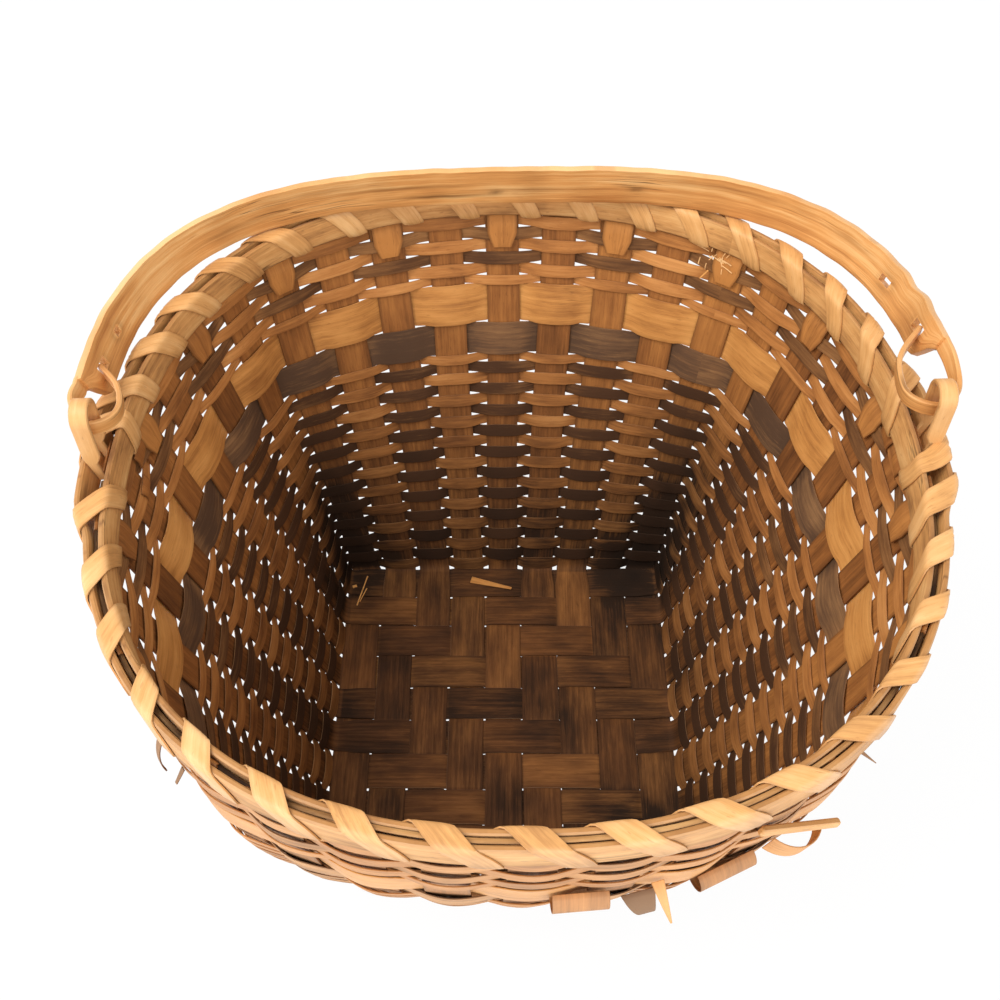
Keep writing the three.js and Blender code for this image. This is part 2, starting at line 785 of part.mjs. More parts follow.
function bandSections() {
  const from = bandAngleAt(leftEnd.shoulder, -1);
  const to = bandAngleAt(rightEnd.shoulder, 1);
  const sections = [];
  for (let i = 0; i <= handleSteps; i += 1) {
    const angle = THREE.MathUtils.lerp(from, to, i / handleSteps);
    sections.push(stripSection(bandPoint(angle), bandHeading(angle), handleThickness, handleWidth));
  }
  return sections;
}

// The tail goes from the band's end round the ear and back up into the slot in the band
function ringCurve(end, sign) {
  const ear = sign * earCentres[0].distanceTo(earCentres[1]) / 2;
  const wide = sign * end.ringHalfWidth;
  const low = end.ringHalfWidth;
  const leave = bandPoint(bandAngleAt(end.shoulder - shoulderLength, sign));
  leave.x += sign * (handleThickness - tailThickness) / 2;
  const tip = bandPoint(bandAngleAt(end.slotRadius, sign));
  tip.x -= sign * (handleThickness / 2 - tipDepth);
  const inside = new THREE.Vector2(ear - wide, low);
  const points = [
    leave,
    new THREE.Vector2(ear + wide, low),
    new THREE.Vector2(ear + wide * Math.SQRT1_2, low * (1 - Math.SQRT1_2)),
    new THREE.Vector2(ear, 0),
    new THREE.Vector2(ear - wide * Math.SQRT1_2, low * (1 - Math.SQRT1_2)),
    inside,
    inside.clone().lerp(tip, 0.5).setX(ear - wide * Math.SQRT1_2),
    tip,
  ];
  return new THREE.SplineCurve(points);
}

function ringSections(end, sign) {
  const curve = ringCurve(end, sign);
  const sections = [];
  for (let i = 0; i <= ringSteps; i += 1) {
    const share = i / ringSteps;
    const heading = curve.getTangentAt(share).multiplyScalar(sign);
    const width = THREE.MathUtils.lerp(tailWidth, tailTipWidth, share * share);
    sections.push(stripSection(curve.getPointAt(share), heading, tailThickness, width));
  }
  return sections;
}

// A straight cut right through the band, centred at a distance from the turning line
function bandCutter(radius, sign, length, width) {
  const angle = bandAngleAt(radius, sign);
  const heading = bandHeading(angle);
  const depth = handleThickness + 2 * cutOverrun;
  const ends = [-length / 2, length / 2].map((along) => {
    const place = bandPoint(angle).addScaledVector(heading, along);
    return stripSection(place, heading, depth, width);
  });
  return toSolid(loft(ends, false));
}

function toSolid(geometry) {
  const mesh = new solids.Mesh({
    numProp: 3,
    vertProperties: geometry.attributes.position.array,
    triVerts: Uint32Array.from(geometry.index.array),
  });
  return new solids.Manifold(mesh);
}

function toGeometry(solid) {
  const mesh = solid.getMesh();
  const geometry = new THREE.BufferGeometry();
  geometry.setAttribute('position', new THREE.BufferAttribute(mesh.vertProperties, 3));
  geometry.setIndex(new THREE.BufferAttribute(mesh.triVerts, 1));
  return geometry;
}

const handleTilt = Math.asin(
  (pivotHeight - handleWidth / 2 - lashingFace - restGap) / handleInnerHeight,
);

// The band has a slot and a notch at each end, and the two tails run on from it
function makeHandle() {
  const band = bandSections();
  let solid = toSolid(loft(band, false));
  for (const [end, sign] of [[leftEnd, -1], [rightEnd, 1]]) {
    const slot = bandCutter(end.slotRadius, sign, slotLength, tailTipWidth + 2 * slotClearance);
    const notch = bandCutter(end.notchRadius, sign, end.notchLength, notchWidth);
    const tail = [band[sign < 0 ? 0 : handleSteps], ...ringSections(end, sign)];
    solid = solid.subtract(slot).subtract(notch).add(toSolid(loft(tail, false)));
  }
  return toGeometry(solid);
}

// Colours and finishes
const looks = {
  splint: { color: 0x9a6a3c, roughness: 0.75, metalness: 0 },
  lightWeaver: { color: 0xc08e55, roughness: 0.7, metalness: 0 },
  darkWeaver: { color: 0x4c3526, roughness: 0.75, metalness: 0 },
  darkBand: { color: 0x5d4a3d, roughness: 0.7, metalness: 0 },
  tanBand: { color: 0xc79a5e, roughness: 0.65, metalness: 0 },
  hoop: { color: 0xb58c5a, roughness: 0.65, metalness: 0 },
  lashing: { color: 0xc99c62, roughness: 0.55, metalness: 0 },
  handle: { color: 0xd09a58, roughness: 0.5, metalness: 0 },
};

const basket = new THREE.Group();

function addPiece(name, geometry, look) {
  const mesh = new THREE.Mesh(geometry, new THREE.MeshStandardMaterial(looks[look]));
  mesh.name = name;
  basket.add(mesh);
  return mesh;
}

for (let i = 0; i < splintsPerSide; i += 1) {
  addPiece(`lengthwise_splint_${i + 1}`, makeSplint(i, false), 'splint');
  addPiece(`cross_splint_${i + 1}`, makeSplint(i, true), 'splint');
}
for (const course of courses) {
  addPiece(course.name, makeCourse(course), course.look);
}
addPiece('inner_hoop', makeHoop(innerHoopFace), 'hoop');
addPiece('outer_hoop', makeHoop(outerHoopFace), 'hoop');
addPiece('rim_filler_front', makeFiller(earUprights[0], earUprights[1]), 'hoop');
addPiece('rim_filler_back', makeFiller(earUprights[1], earUprights[0] + uprightCount), 'hoop');
addPiece('rim_lashing', makeLashing(), 'lashing');
addPiece('ear_left', makeEar(0), 'lashing');
addPiece('ear_right', makeEar(1), 'lashing');

const handle = addPiece('handle', makeHandle(), 'handle');
handle.position.copy(pivotCentre);
handle.rotation.set(-handleTilt, 0, rimTwist, 'ZYX');

export default basket;
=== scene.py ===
"""Antique splint basket with a bentwood swing handle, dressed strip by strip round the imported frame."""

import logging
import math
from dataclasses import dataclass, field
from enum import Enum
from typing import Sequence

import bpy
import numpy as np
from mathutils import Matrix, Vector


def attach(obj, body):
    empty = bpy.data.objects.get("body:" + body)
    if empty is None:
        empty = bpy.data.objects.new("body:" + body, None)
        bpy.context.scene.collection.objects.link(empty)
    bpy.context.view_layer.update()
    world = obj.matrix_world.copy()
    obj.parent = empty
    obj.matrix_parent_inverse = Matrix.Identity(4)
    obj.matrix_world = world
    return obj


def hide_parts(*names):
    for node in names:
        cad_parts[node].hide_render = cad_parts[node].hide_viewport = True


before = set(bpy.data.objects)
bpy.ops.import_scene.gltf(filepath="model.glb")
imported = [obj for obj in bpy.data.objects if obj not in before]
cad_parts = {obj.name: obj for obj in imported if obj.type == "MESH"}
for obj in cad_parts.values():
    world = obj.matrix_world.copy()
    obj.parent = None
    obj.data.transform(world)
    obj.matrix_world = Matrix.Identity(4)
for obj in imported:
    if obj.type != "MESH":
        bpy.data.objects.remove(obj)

Rng = np.random.Generator
Socket = bpy.types.NodeSocket
Array = np.ndarray
Span = tuple[float, float]
Colour = tuple[float, float, float, float]
LOG = logging.getLogger("splint_basket")
MM = 0.001
BASKET = "basket"
HANDLE = "handle"
WHITE = (1.0, 1.0, 1.0, 1.0)
GRAIN_REACH = 40.0
WELD_GAP = 0.01


# Small helpers


def smoothstep(share: Array) -> Array:
    """Eases a share from 0 to 1 with flat ends."""
    held = np.clip(share, 0.0, 1.0)
    return held * held * (3 - 2 * held)


def ease(value: Array, start: float, end: float) -> Array:
    """Eases from 0 at start to 1 at end."""
    return smoothstep((np.asarray(value, float) - start) / (end - start))


def drift(place: Array, rng: Rng, waves: Sequence[float]) -> Array:
    """A slow seeded wander between about -1 and 1.

    Args:
        place: Where along the strip each sample lies.
        rng: The seeded generator that gives the phases.
        waves: How often each wave repeats per unit of place.

    Returns:
        One value for each place.
    """
    total = np.zeros_like(place, dtype=float)
    for wave in waves:
        total += np.sin(2 * math.pi * (wave * place + rng.random())) / len(waves)
    return total


def run_lengths(points: Array) -> Array:
    """Distance along a line at each of its points."""
    return np.concatenate([[0.0], np.cumsum(np.linalg.norm(np.diff(points, axis=0), axis=1))])


def smooth_line(knots: Array, steps: int) -> Array:
    """A smooth line through knots.

    Args:
        knots: The points that it passes through.
        steps: How many points are put on each stretch between two knots.

    Returns:
        The points of the line.
    """
    held = np.concatenate([knots[:1], knots, knots[-1:]])
    t = (np.arange(steps) / steps)[:, None]
    stretches = []
    for before, here, there, after in zip(held, held[1:], held[2:], held[3:]):
        start, stop = (there - before) / 2, (after - here) / 2
        cubic = 2 * here - 2 * there + start + stop
        square = -3 * here + 3 * there - 2 * start - stop
        stretches.append(cubic * t**3 + square * t**2 + start * t + here)
    return np.concatenate([*stretches, knots[-1:]])


def deselect() -> None:
    """Leaves nothing selected, as the loaded nodes are."""
    bpy.ops.object.select_all(action="DESELECT")


def keep_only(piece: bpy.types.Object) -> None:
    """Makes one piece the only selected and the active one."""
    deselect()
    piece.select_set(True)
    bpy.context.view_layer.objects.active = piece


def apply_modifier(piece: bpy.types.Object, kind: str, **values: object) -> None:
    """Adds a modifier and applies it at once.

    Args:
        piece: The piece to finish.
        kind: Blender's name of the modifier type.
        **values: The modifier's settings.
    """
    keep_only(piece)
    modifier = piece.modifiers.new(kind.lower(), kind)
    for name, value in values.items():
        setattr(modifier, name, value)
    bpy.ops.object.modifier_apply(modifier=modifier.name)


def soften(piece: bpy.types.Object, degrees: float = 40.0) -> None:
    """Shades a piece smooth where its faces meet at a shallow angle."""
    keep_only(piece)
    bpy.ops.object.shade_smooth_by_angle(angle=math.radians(degrees))


@dataclass
class Strip:
    """One run of splint, as a grid of points along and across it, in millimetres."""

    name: str
    points: Array
    thickness: float
    closed: bool = False
    tone: Array | float = 0.0
    stain: Array | float = 0.0
    grain_start: float = 0.0
    grain_sidestep: float = 0.37
    edge_bevel: float = 0.16
    bevel_segments: int = 1
    bevel_angle: float = math.radians(50.0)

    def lengths(self) -> tuple[Array, Array]:
        """Distances along the middle of the strip and across its middle, in metres."""
        columns = self.points.shape[1]
        across = np.linalg.norm(np.diff(self.points, axis=1), axis=2).mean(axis=0)
        return run_lengths(self.points[:, columns // 2]) * MM, np.concatenate([[0.0], np.cumsum(across)]) * MM

    def build(self) -> bpy.types.Object:
        """Makes the strip as a solid piece.

        Returns:
            The finished object, at the origin, with its UV in metres along and across.
        """
        rows, columns = self.points.shape[:2]
        deselect()
        bpy.ops.mesh.primitive_grid_add(x_subdivisions=columns - 1, y_subdivisions=rows - 1, size=1)
        piece = bpy.context.object
        piece.name = self.name
        mesh = piece.data
        mesh.name = self.name
        flat = (self.points * MM).reshape(-1, 3)
        mesh.vertices.foreach_set("co", flat.astype(np.float32).ravel())
        along, across = self.lengths()
        corner = np.zeros(len(mesh.loops), np.int32)
        mesh.loops.foreach_get("vertex_index", corner)
        u = along[corner // columns] + self.grain_start
        v = across[corner % columns] + self.grain_start * self.grain_sidestep
        mesh.uv_layers[0].data.foreach_set("uv", np.stack([u, v], axis=1).astype(np.float32).ravel())
        # edge runs from 0 in the middle of a strip to 1 at its sides; the materials use it for painted shade
        # along the edges
        side = np.abs(2 * across / across[-1] - 1)
        self.paint(mesh, "edge", np.tile(side, rows))
        self.paint(mesh, "tone", self.spread(self.tone))
        # The stain values hold grime, stains and dye, and in places painted shade
        self.paint(mesh, "stain", self.spread(self.stain))
        if self.closed:
            keep_only(piece)
            bpy.ops.object.mode_set(mode="EDIT")
            bpy.ops.mesh.select_all(action="SELECT")
            bpy.ops.mesh.remove_doubles(threshold=WELD_GAP * MM)
            bpy.ops.object.mode_set(mode="OBJECT")
        apply_modifier(piece, "SOLIDIFY", thickness=self.thickness * MM, offset=0.0)
        if self.edge_bevel > 0:
            apply_modifier(
                piece, "BEVEL", width=self.edge_bevel * MM, segments=self.bevel_segments,
                limit_method="ANGLE", angle_limit=self.bevel_angle,
            )
        soften(piece)
        return piece

    def spread(self, value: Array | float) -> Array:
        """One value per grid point, from a number, a row of values or a full grid.

        Args:
            value: The number, row or grid.

        Returns:
            The values, point by point.
        """
        rows, columns = self.points.shape[:2]
        grid = np.asarray(value, float)
        if grid.ndim == 1:
            grid = grid[:, None]
        return np.broadcast_to(grid, (rows, columns)).ravel()

    @staticmethod
    def paint(mesh: bpy.types.Mesh, name: str, values: Array) -> None:
        """Stores one value per vertex under a name that the materials read."""
        layer = mesh.attributes.new(name, "FLOAT", "POINT")
        layer.data.foreach_set("value", np.asarray(values, np.float32))


# Shape of the basket


@dataclass
class WallPlan:
    """The wall's middle surface, from the square base to the rounded mouth."""

    splints_per_side: int = 9
    splint_pitch: float = 22.0
    splint_width: float = 19.0
    base_middle: float = 1.15
    rim_half_width: float = 185.0
    rim_half_depth: float = 190.0
    rim_shift: tuple[float, float] = (5.0, 3.0)
    rim_squareness: float = 2.25
    rim_twist_degrees: float = 1.8
    rim_plane: float = 229.5
    rim_top: float = 231.0
    ear_places: tuple[int, int] = (13, 31)
    bulge: float = 0.25
    front_bulge: float = 0.95
    front_falloff: float = 2.5
    corner_fullness: float = 0.9
    rim_samples: int = 1440
    count: int = field(init=False)
    foot: Array = field(init=False)
    top: Array = field(init=False)
    heading: Array = field(init=False)
    twist: Array = field(init=False)
    bellies: Array = field(init=False)

    def __post_init__(self) -> None:
        """Works out each upright's foot, top and headings."""
        self.count = 4 * self.splints_per_side
        middle = (self.splints_per_side - 1) / 2
        half = self.splint_pitch * self.splints_per_side / 2
        k = np.arange(self.count)
        side = k // self.splints_per_side
        along = (k % self.splints_per_side - middle) * self.splint_pitch
        turn = side * math.pi / 2
        self.heading = math.pi + turn
        self.foot = np.stack(
            [-along * np.cos(turn) - half * np.sin(turn), -along * np.sin(turn) + half * np.cos(turn)], axis=1
        )
        angles = self.spaced_angles(middle)
        self.top = self.rim_point(angles)
        small = math.pi / self.rim_samples
        ahead = self.rim_point(angles + small) - self.rim_point(angles - small)
        turn_up = np.arctan2(ahead[:, 1], ahead[:, 0]) - self.heading
        self.twist = np.arctan2(np.sin(turn_up), np.cos(turn_up))
        frontness = np.maximum(0, -self.foot[:, 1] / half) ** self.front_falloff
        self.bellies = self.bulge + (self.front_bulge - self.bulge) * frontness

    def rim_point(self, angle: Array) -> Array:
        """Points on the mouth's rounded square, at angles round it."""
        across = np.abs(np.cos(angle) / self.rim_half_width) ** self.rim_squareness
        along = np.abs(np.sin(angle) / self.rim_half_depth) ** self.rim_squareness
        radius = (across + along) ** (-1 / self.rim_squareness)
        return np.array(self.rim_shift) + radius[:, None] * np.stack([np.cos(angle), np.sin(angle)], axis=1)

    def spaced_angles(self, middle: float) -> Array:
        """Angles that space the uprights evenly along the mouth, from the middle of the back.

        Args:
            middle: The number of the upright in the middle of the back.

        Returns:
            One angle for each upright.
        """
        angles = math.pi / 2 + np.arange(self.rim_samples + 1) * 2 * math.pi / self.rim_samples
        lengths = run_lengths(self.rim_point(angles))
        twist = math.radians(self.rim_twist_degrees) * (self.rim_half_width + self.rim_half_depth) / 2
        wanted = ((np.arange(self.count) - middle) * lengths[-1] / self.count + twist) % lengths[-1]
        return np.interp(wanted, lengths, angles)

    def upright(self, k: Array, height: Array) -> tuple[Array, Array]:
        """Middle and heading of upright k at a height, in plan.

        Args:
            k: The upright's number.
            height: Height above the floor.

        Returns:
            The middle, and the direction round the basket.
        """
        k = np.asarray(k) % self.count
        rise = (height - self.base_middle) / (self.rim_plane - self.base_middle)
        belly = self.bellies[k]
        spread = (1 + belly) * rise - belly * rise * rise
        middle = self.foot[k] + (self.top[k] - self.foot[k]) * spread[..., None]
        heading = self.heading[k] + self.twist[k] * rise
        return middle, np.stack([np.cos(heading), np.sin(heading)], axis=-1)

    def plan_point(self, place: Array, height: Array) -> Array:
        """A point of the middle surface in plan: whole places lie on upright middles.

        Args:
            place: Position round the basket.
            height: Height above the floor.

        Returns:
            Points in plan.
        """
        place, height = np.broadcast_arrays(np.asarray(place, float), np.asarray(height, float))
        k = np.floor(place).astype(int)
        t = (place - k)[..., None]
        here, forward = self.upright(k, height)
        there, onward = self.upright(k + 1, height)
        length = np.linalg.norm(there - here, axis=-1, keepdims=True)
        length = length * (1 + self.corner_fullness * (1 - (forward * onward).sum(-1, keepdims=True)))
        return (
            (2 * t**3 - 3 * t**2 + 1) * here + (t**3 - 2 * t**2 + t) * length * forward
            + (3 * t**2 - 2 * t**3) * there + (t**3 - t**2) * length * onward
        )

    def surface(self, place: Array, height: Array, out: Array | float = 0.0) -> Array:
        """A point beside the wall.

        Args:
            place: Position round the basket, one whole number for each upright.
            height: Height above the floor.
            out: Distance outward from the wall's middle surface.

        Returns:
            Points in millimetres, with one more axis than the arguments.
        """
        place, height, out = np.broadcast_arrays(
            np.asarray(place, float), np.asarray(height, float), np.asarray(out, float)
        )
        small = 0.02
        ahead = self.plan_point(place + small, height) - self.plan_point(place - small, height)
        ahead /= np.linalg.norm(ahead, axis=-1, keepdims=True)
        outward = np.stack([ahead[..., 1], -ahead[..., 0]], axis=-1)
        middle = self.plan_point(place, height)
        slope = ((self.plan_point(place, height + 1) - middle) * outward).sum(-1)
        lean = np.hypot(1, slope)
        flat = middle + outward * (out * lean)[..., None]
        return np.concatenate([flat, height[..., None]], axis=-1)

    def pace(self, place: Array, height: Array) -> Array:
        """Millimetres of wall for one step of place."""
        step = 0.05
        apart = self.plan_point(place + step, height) - self.plan_point(place - step, height)
        return np.linalg.norm(apart, axis=-1) / (2 * step)


@dataclass(frozen=True)
class Course:
    """One weaver or band: its heights, and which uprights it passes inside."""

    name: str
    bottom: float
    top: float
    inside_odd: bool
    slot: str

    @property
    def wide(self) -> bool:
        """Whether the course is one of the two wide bands."""
        return self.slot.endswith("band")


@dataclass(frozen=True)
class CoursePlan:
    """How the courses are stacked from the base to the rim, in millimetres."""

    lowest_edge: float = 3.4
    gap: float = 0.8
    lower_rows: int = 20
    lower_pitch: float = 6.4
    beside_band_pitch: float = 5.2
    dark_band_pitch: float = 18.0
    tan_band_pitch: float = 22.0
    upper_rows: int = 6
    upper_pitch: float = 6.7

    def courses(self) -> list[Course]:
        """The courses from the base to the rim, as the frame has them."""
        made = []
        bottom = self.lowest_edge

        def add(name: str, pitch: float, inside_odd: bool, slot: str) -> None:
            """Adds one course on top of the last."""
            nonlocal bottom
            made.append(Course(name, bottom, bottom + pitch - self.gap, inside_odd, slot))
            bottom += pitch

        for i in range(1, self.lower_rows + 1):
            dark = i % 2 == 0
            add(f"lower_row_{i}", self.lower_pitch, not dark, "dark_weaver" if dark else "light_weaver")
        add(f"lower_row_{self.lower_rows + 1}", self.beside_band_pitch, True, "light_weaver")
        add("dark_band", self.dark_band_pitch, False, "dark_band")
        add("tan_band", self.tan_band_pitch, True, "tan_band")
        add("upper_row_1", self.beside_band_pitch, False, "light_weaver")
        for i in range(2, self.upper_rows + 1):
            dark = i % 2 == 1
            add(f"upper_row_{i}", self.upper_pitch, not dark, "dark_weaver" if dark else "light_weaver")
        return made


# Woven pieces


@dataclass
class Weavers:
    """The courses that go round the wall, over one upright and under the next."""

    wall: WallPlan
    looks: "Looks"
    plan: CoursePlan = field(default_factory=CoursePlan)
    thickness: float = 0.8
    mesh_slack: float = 0.1
    splint_half: float = 0.5
    clearance: float = 0.12
    pillow: float = 0.5
    band_pillow: float = 1.0
    outer_pillow: float = 1.25
    pillow_spread: Span = (0.8, 1.2)
    cup: float = 0.1
    crossing_gap: float = 0.15
    pass_growth: float = 0.8
    band_growth: float = 1.5
    growth_spread: Span = (0.5, 1.2)
    row_fill: float = 0.36
    band_fill: float = 0.16
    change_share: float = 0.34
    wander: float = 0.3
    pass_wander: float = 0.28
    steps: int = 14
    points_across: int = 4
    band_points_across: int = 6
    overrun: float = 2.2
    lowest: float = 2.2
    dye: float = 0.96
    dye_spread: float = 0.08
    dye_limits: Span = (0.7, 1.1)
    dye_drift: float = 0.06
    grime_and_shade_on_dye: float = 0.75
    faded_above: float = 185.0
    faded: float = 0.17
    strip_tone: float = 0.6
    pass_tone: float = 0.55
    slow_tone: float = 0.6
    seed: int = 31

    def build(self) -> None:
        """Makes and dresses every course."""
        for index, course in enumerate(self.plan.courses()):
            rng = np.random.default_rng(self.seed + index)
            piece = self.strip(course, rng).build()
            self.looks.dress(piece, BASKET, course.slot, course.name)

    def offsets(self, course: Course, place: Array, height: float, rng: Rng) -> Array:
        """How far out the course lies at each place.

        Args:
            course: The course.
            place: Places round the basket.
            height: The course's middle height.
            rng: Its seeded generator.

        Returns:
            Distances outward from the wall's middle surface, in millimetres.
        """
        nearest = np.round(place)
        k = nearest.astype(int) % self.wall.count
        side = np.where((k % 2 == 1) == course.inside_odd, -1.0, 1.0)
        pace = self.wall.pace(nearest, height)
        gap = pace - self.wall.splint_width
        half_cross = (gap / 2 + self.overrun) / pace
        from_middle = np.abs(place - nearest)
        crossing = smoothstep((0.5 - from_middle) / half_cross / 2 + 0.5) * 2 - 1
        rest = self.splint_half + self.clearance + self.thickness / 2
        swell = np.where(side > 0, self.outer_pillow, self.band_pillow if course.wide else self.pillow)
        depth = rng.uniform(*self.pillow_spread, self.wall.count)[k]
        arch = np.cos(np.pi * np.clip(from_middle / 0.5, 0, 1) / 2) ** 2
        return side * (crossing * rest + swell * depth * arch)

    def strip(self, course: Course, rng: Rng) -> Strip:
        """Lays out one course.

        Args:
            course: The course.
            rng: Its seeded generator.

        Returns:
            The strip, ready to build.
        """
        place = np.linspace(0, self.wall.count, self.wall.count * self.steps + 1)
        middle = (course.bottom + course.top) / 2
        out = self.offsets(course, place, middle, rng)
        from_crossing = 0.5 - np.abs(place - np.round(place))
        passing = smoothstep(from_crossing / (self.band_fill if course.wide else self.row_fill))
        pitch = course.top - course.bottom + self.plan.gap
        growth = self.band_growth if course.wide else self.pass_growth
        growth = growth * self.per_upright(place, rng.uniform(*self.growth_spread, self.wall.count))
        width = pitch - self.crossing_gap + growth * passing
        wander = self.wander * drift(place / self.wall.count, rng, waves=(2, 3, 7))
        wander += passing * self.per_upright(place, rng.normal(0, self.pass_wander, self.wall.count))
        across = np.linspace(-1, 1, self.band_points_across if course.wide else self.points_across)
        height = np.maximum(middle + wander[:, None] + across * width[:, None] / 2, self.lowest)
        cup = self.cup * (1 - across**2) * np.sign(out)[:, None]
        points = self.wall.surface(place[:, None], height, out[:, None] + cup)
        points[-1] = points[0]
        return Strip(
            course.name, points, self.thickness - self.mesh_slack, closed=True,
            tone=self.tones(course, place, rng)[:, None],
            stain=self.stains(course, place, points, rng),
            grain_start=rng.uniform(0, GRAIN_REACH),
        )

    def per_upright(self, place: Array, values: Array) -> Array:
        """Spreads one value per upright along a course, with soft changes where it crosses the wall."""
        k = np.floor(place).astype(int)
        share = smoothstep((place - k - 0.5) / self.change_share + 0.5)
        return values[k % self.wall.count] * (1 - share) + values[(k + 1) % self.wall.count] * share

    def stains(self, course: Course, place: Array, points: Array, rng: Rng) -> Array:
        """The dark dye of a stained course, and on any the grime and painted shade from the wall.

        Args:
            course: The course.
            place: Places round the basket.
            points: The course's grid.
            rng: Its seeded generator.

        Returns:
            From 0 to 1 for each point of the grid.
        """
        # Grime from the wall, with painted shade for the dim inside low in the basket
        grime = self.looks.dirt.on_wall(points)
        if not course.slot.startswith("dark"):
            return grime
        worn = np.clip(rng.normal(self.dye, self.dye_spread, self.wall.count), *self.dye_limits)
        dye = self.per_upright(place, worn)
        dye += self.dye_drift * drift(place / self.wall.count, rng, waves=(13, 29))
        if course.bottom > self.faded_above and not course.wide:
            dye -= self.faded
        return dye[:, None] + self.grime_and_shade_on_dye * grime

    def tones(self, course: Course, place: Array, rng: Rng) -> Array:
        """Light and dark along a course: each visible pass has its own, and the strip has its own."""
        own = rng.normal(0, self.strip_tone)
        passes = self.per_upright(place, rng.normal(0, self.pass_tone, self.wall.count))
        slow = self.slow_tone * drift(place / self.wall.count, rng, waves=(1, 2, 5))
        return own + passes + slow


@dataclass(frozen=True)
class SplintRoute:
    """How one splint lies on the base, and the two uprights that its ends turn up into."""

    forward: Array
    across: Array
    origin: Array
    first: int
    last: int


@dataclass
class Splints:
    """The eighteen splints that make the base and, turned up, the uprights of the wall."""

    wall: WallPlan
    looks: "Looks"
    thickness: float = 0.9
    width_spread: Span = (-0.15, 0.35)
    cup: float = 0.12
    layer_rise: float = 0.62
    layer_change: float = 0.46
    base_half: float = 10.6
    base_spread: Span = (-0.35, 0.3)
    base_waver: float = 0.15
    base_drift: float = 0.12
    base_wave: float = 200.0
    narrow_from: float = 84.0
    fold_start: float = 95.5
    fold_height: float = 5.2
    sway: float = 0.9
    sway_wave: float = 220.0
    sway_grows: Span = (5.0, 60.0)
    upright_top: float = 227.4
    turn_radius: float = 0.66
    turn_rise: float = 0.9
    tail_start: float = 225.9
    tail_narrows: Span = (222.0, 216.0)
    tail_half: float = 8.4
    tail_stand: float = 1.25
    tail_leaves: Span = (215.0, 209.5)
    tail_shoulder: float = 206.0
    tail_point: float = 198.0
    tail_point_half: float = 5.2
    tail_return: float = 0.35
    tail_returns: Span = (201.5, 197.0)
    tail_tone: float = 1.6
    wall_tone: float = 0.7
    wall_tone_ends: Span = (0.3, 0.4)
    slow_tone: float = 0.6
    float_tone: float = 0.6
    splint_wear: float = 0.05
    float_wear: float = 0.085
    wall_steps: int = 45
    turn_steps: int = 6
    tail_steps: int = 17
    fold_steps: int = 5
    base_steps: int = 96
    points_across: int = 5
    seed: int = 77

    def build(self) -> None:
        """Makes and dresses the lengthwise and the cross splints."""
        for index in range(self.wall.splints_per_side):
            for is_cross in (False, True):
                rng = np.random.default_rng(self.seed + 2 * index + is_cross)
                strip = self.strip(index, is_cross, rng)
                self.looks.dress(strip.build(), BASKET, "splint", strip.name)

    def cross_on_top(self, column: int, row: int) -> bool:
        """Whether the cross splint lies on top at a crossing of the twill."""
        return (column - row) % 4 in (3, 0)

    def levels(self, index: int, is_cross: bool) -> Array:
        """Up (1) or down (-1) at each of a splint's nine crossings.

        Args:
            index: Which splint of its direction.
            is_cross: Whether it runs across the basket.

        Returns:
            One value for each crossing.
        """
        tops = [
            self.cross_on_top(j, index) if is_cross else self.cross_on_top(index, j)
            for j in range(self.wall.splints_per_side)
        ]
        return np.array([1.0 if top == is_cross else -1.0 for top in tops])

    def base_height(self, along: Array, levels: Array) -> Array:
        """Height of a splint's middle along the base.

        Args:
            along: Distance from the middle of the base.
            levels: Up or down at each crossing.

        Returns:
            Heights in millimetres.
        """
        pitch = self.wall.splint_pitch
        at = np.clip(along / pitch + (len(levels) - 1) / 2, 0, len(levels) - 1)
        low = np.minimum(np.floor(at).astype(int), len(levels) - 2)
        share = smoothstep((at - low - 0.5) / self.layer_change + 0.5)
        rise = levels[low] + (levels[low + 1] - levels[low]) * share
        return self.wall.base_middle + self.layer_rise * rise

    def row(self, k: int, across: Array, height: float, out: float = 0.0) -> Array:
        """One row of points over upright k, at distances across it in millimetres."""
        return self.wall.surface(k + across / self.wall.pace(np.full_like(across, k), height), height, out)

    def tail_rows(self, k: int, spread: Array) -> list[Array]:
        """The end of a folded upright: the turn over the rim, then the blunt tail on the inside.

        Args:
            k: The upright's number.
            spread: Half-width positions across the splint, in millimetres.

        Returns:
            The rows of points, from the rim down.
        """
        rows = []
        for angle in np.linspace(0, math.pi, self.turn_steps + 1)[1:]:
            height = self.upright_top + self.turn_rise * math.sin(angle)
            rows.append(self.row(k, spread, height, -self.turn_radius * (1 - math.cos(angle))))
        full = self.wall.splint_width / 2
        for height in np.linspace(self.tail_start, self.tail_point, self.tail_steps + 1):
            half = full + (self.tail_half - full) * float(ease(height, *self.tail_narrows))
            pointed = (self.tail_shoulder - height) / (self.tail_shoulder - self.tail_point)
            half += (self.tail_point_half - self.tail_half) * float(np.clip(pointed, 0, 1))
            out = -2 * self.turn_radius - self.tail_stand * float(ease(height, *self.tail_leaves))
            out += self.tail_return * float(ease(height, *self.tail_returns))
            rows.append(self.row(k, spread / spread[-1] * half, height, out))
        return rows

    def wall_run(self, k: int, spread: Array, rng: Rng) -> tuple[Array, Array]:
        """One upright from just above the fold to its end.

        Args:
            k: The upright's number. Every second one is folded over the rim.
            spread: Half-width positions across the splint, in millimetres.
            rng: Its seeded generator.

        Returns:
            The points from the bottom up, and for each row 1 where it belongs to the folded tail, else 0.
        """
        heights = np.linspace(self.fold_height, self.upright_top, self.wall_steps + 1)
        lean = self.sway * drift(heights / self.sway_wave, rng, waves=(0.7, 1.6))
        lean = lean * ease(heights, *self.sway_grows)
        rows = [self.row(k, spread + shift, height) for height, shift in zip(heights, lean)]
        tail = self.tail_rows(k, spread) if k % 2 == 0 else []
        return np.array(rows + tail), np.repeat([0.0, 1.0], [len(rows), len(tail)])

